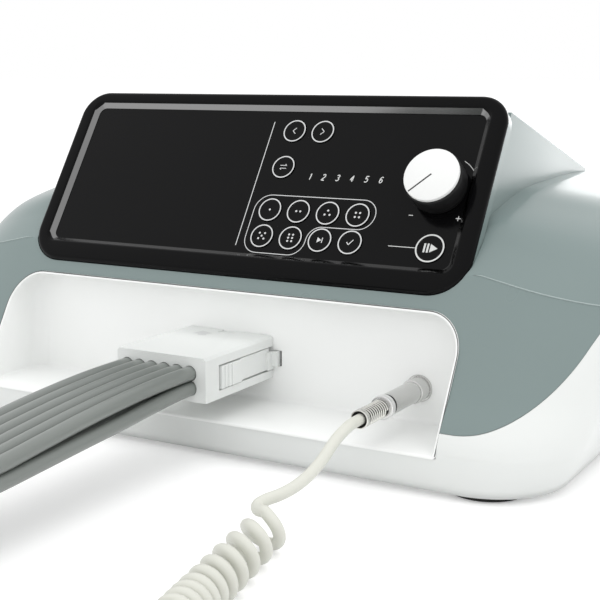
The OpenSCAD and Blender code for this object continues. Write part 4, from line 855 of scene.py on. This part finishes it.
# y, height, turn in degrees, how far the two ribbons sag apart
RUN = [(-41.3, MID, 0, 0), (-60, MID - .1, 0, .5), (-80, MID - .9, 0, 1.5), (-102, MID - 2.4, 0, 2.2),
       (-125, MID - 4.2, 0, 1.8), (-150, MID - 6.6, 0, .9), (-172, MID - 9, 1, 0), (-186, MID - 10.8, 6, 0),
       (-198, MID - 12.4, 15, 0), (-209, MID - 13.6, 27, 0), (-220, MID - 14.8, 41, 0), (-231, MID - 16, 56, 0),
       (-243, MID - 17, 70, 0), (-256, MID - 17.9, 81, 0), (-272, ROLL_Z + .1, 88, 0), (-286, ROLL_Z, 90, 0),
       (-300, ROLL_Z, 90, 0)]


def ribbon_rows(side, radii, x):
    """Centres, width directions and face normals along one ribbon. The free run turns by an angle t, so its
    width points to (cos t, 0, sin t); the roll is half circles of those radii with straight runs between."""
    y, z, turn, sag = smooth_path(RUN, 5).T
    t = np.radians(turn)
    d = side * ((HOSE + .1) / 2 + (ROLL_STEP - HOSE - .1) / 2 * turn / 90) + (.35 if side > 0 else -.65) * sag
    widths = [np.stack([np.cos(t), 0 * t, np.sin(t)], -1)]
    normals = [np.stack([-np.sin(t), 0 * t, np.cos(t)], -1)]
    centres = [np.stack([ROLL_X + 0 * y, y, z], -1) + normals[0] * d[:, None]]
    a = np.radians(np.linspace(0, 180, 25))
    for i, r in enumerate(radii):
        way = 1 if i % 2 else -1            # towards the pump, or away from it
        end = ROLL_Y if i % 2 else ROLL_Y - ROLL_LONG
        centres.append(np.stack([x + way * r * (1 - np.cos(a)), end + way * r * np.sin(a), ROLL_Z + 0 * a], -1))
        normals.append(np.stack([way * np.cos(a), -way * np.sin(a), 0 * a], -1))
        widths.append(np.tile([0, 0, 1.0], (len(a), 1)))
        x += way * 2 * r
    centres.append(centres[-1][-1:] + (0, 10 if len(radii) % 2 else -10, 0))
    return np.vstack(centres), np.vstack(widths + [widths[-1][-1:]]), np.vstack(normals + [normals[-1][-1:]])


def lobes(per=9, web=12):
    """Outline of the six hoses: an arc over each, down to the web, web degrees over the middle line, and the
    same turned half round for the underside."""
    arcs = [np.linspace(180, web, per + 1)] + [np.linspace(180 - web, web, per)] * (HOSES - 1)
    top = [np.stack([(i - 2.5) * HOSE_PITCH + HOSE / 2 * np.cos(a), HOSE / 2 * np.sin(a)], -1)
           for i, a in enumerate(map(np.radians, arcs))]
    top = np.vstack([*top, (2.5 * HOSE_PITCH + HOSE / 2, 0)])
    return np.vstack([top, -top[1:-1]])


def ribbon(name, side, radii, x, nodes):
    c, u, n = ribbon_rows(side, radii, x)
    apart = np.r_[True, np.linalg.norm(np.diff(c, axis=0), axis=1) > .2]
    c, u, n = c[apart], u[apart], n[apart]
    s = lobes()[None, ::-1]
    points = c[:, None] + u[:, None] * s[..., :1] + n[:, None] * s[..., 1:]
    m, k = points.shape[:2]
    o = add(name, points, strip(m, k) + ends(m, k), HOSE_GREY, nodes, angle=60)
    finish(HOSE_GREY, *nodes)


eased("garment_plug_upper", "garment_plug_upper_body", SHELL_WHITE, 0.8)
eased("garment_plug_lower", "garment_plug_lower_body", SHELL_WHITE, 0.8)
eased("roll_tie", "roll_tie_strap", TIE_BLACK, 0.3)
ribbon("hoses_upper", 1, [ROLL_R + ROLL_STEP * k for k in (4, 3, 2, 1, 0)], ROLL_X - ROLL_STEP / 2,
       ["hose_upper", "hose_upper_roll"])
ribbon("hoses_lower", -1, [ROLL_R + ROLL_STEP * k for k in (5, 4, 3, 2)], ROLL_X + ROLL_STEP / 2,
       ["hose_lower", "hose_lower_roll"])

# ---------------------------------------------------------------- table, light and camera
# The pump stands on a white matt table in an even white room. Two soft boxes light it from the front and
# from above, and a white card behind it shows in the gloss of the right side.
FLOOR_WHITE = Mat("floor_white", (0.85, 0.85, 0.85), 0.9, spec=0.0).wear(.003, .02)
rays = FLOOR_WHITE.node("ShaderNodeLightPath").outputs
camera, glossy, through = (Sock(FLOOR_WHITE, rays[f"Is {kind} Ray"]) for kind in ("Camera", "Glossy", "Transmission"))
FLOOR_WHITE.feed(FLOOR_WHITE.shader, {"Emission Color": camera + glossy + through, "Emission Strength": 0.3})
bpy.ops.mesh.primitive_plane_add(size=60, location=(0, 0, -0.0002))
floor = bpy.context.object
floor.name = "floor"
floor.data.materials.append(FLOOR_WHITE.m)

world = bpy.data.worlds.new("studio")
bpy.context.scene.world = world
world.use_nodes = True
background = next(n for n in world.node_tree.nodes if n.type == "BACKGROUND")
background.inputs["Color"].default_value = (1, 1, 1, 1)
background.inputs["Strength"].default_value = 1.0


def lamp(name, place, aim, size, power):
    """A soft box at place, turned to aim, that gives light but isn't mirrored."""
    d = bpy.data.lights.new(name, "AREA")
    d.shape, d.size, d.size_y, d.energy = "RECTANGLE", *size, power
    o = link(bpy.data.objects.new(name, d))
    o.location = place
    o.rotation_euler = (Vector(aim) - Vector(place)).to_track_quat("-Z", "Y").to_euler()
    o.visible_glossy = False
    return o


lamp("front_softbox", (0.1, -1.5, 0.9), (0, 0.05, 0.05), (1.6, 1.0), 2.0)
lamp("top_softbox", (0.4, 0.3, 1.8), (0, 0.05, 0.05), (1.6, 1.2), 8)
card = lamp("right_mirror_card", (0.10, 1.0, 0.15), (0.10, 0, 0.15), (0.65, 0.5), 2.75)
card.visible_glossy, card.visible_diffuse, card.visible_camera = True, False, False

cam = link(bpy.data.objects.new("camera", bpy.data.cameras.new("camera")))
bpy.context.scene.camera = cam
cam.data.lens, cam.data.sensor_width, cam.data.clip_start = 73.65, 36, 0.05
cam.location = (0.3294, -0.4949 + SHIFT / 1000, 0.1785)
cam.rotation_euler = (math.radians(90 - 10.44), 0, math.radians(29.97))
bpy.context.scene.view_settings.view_transform = "Standard"
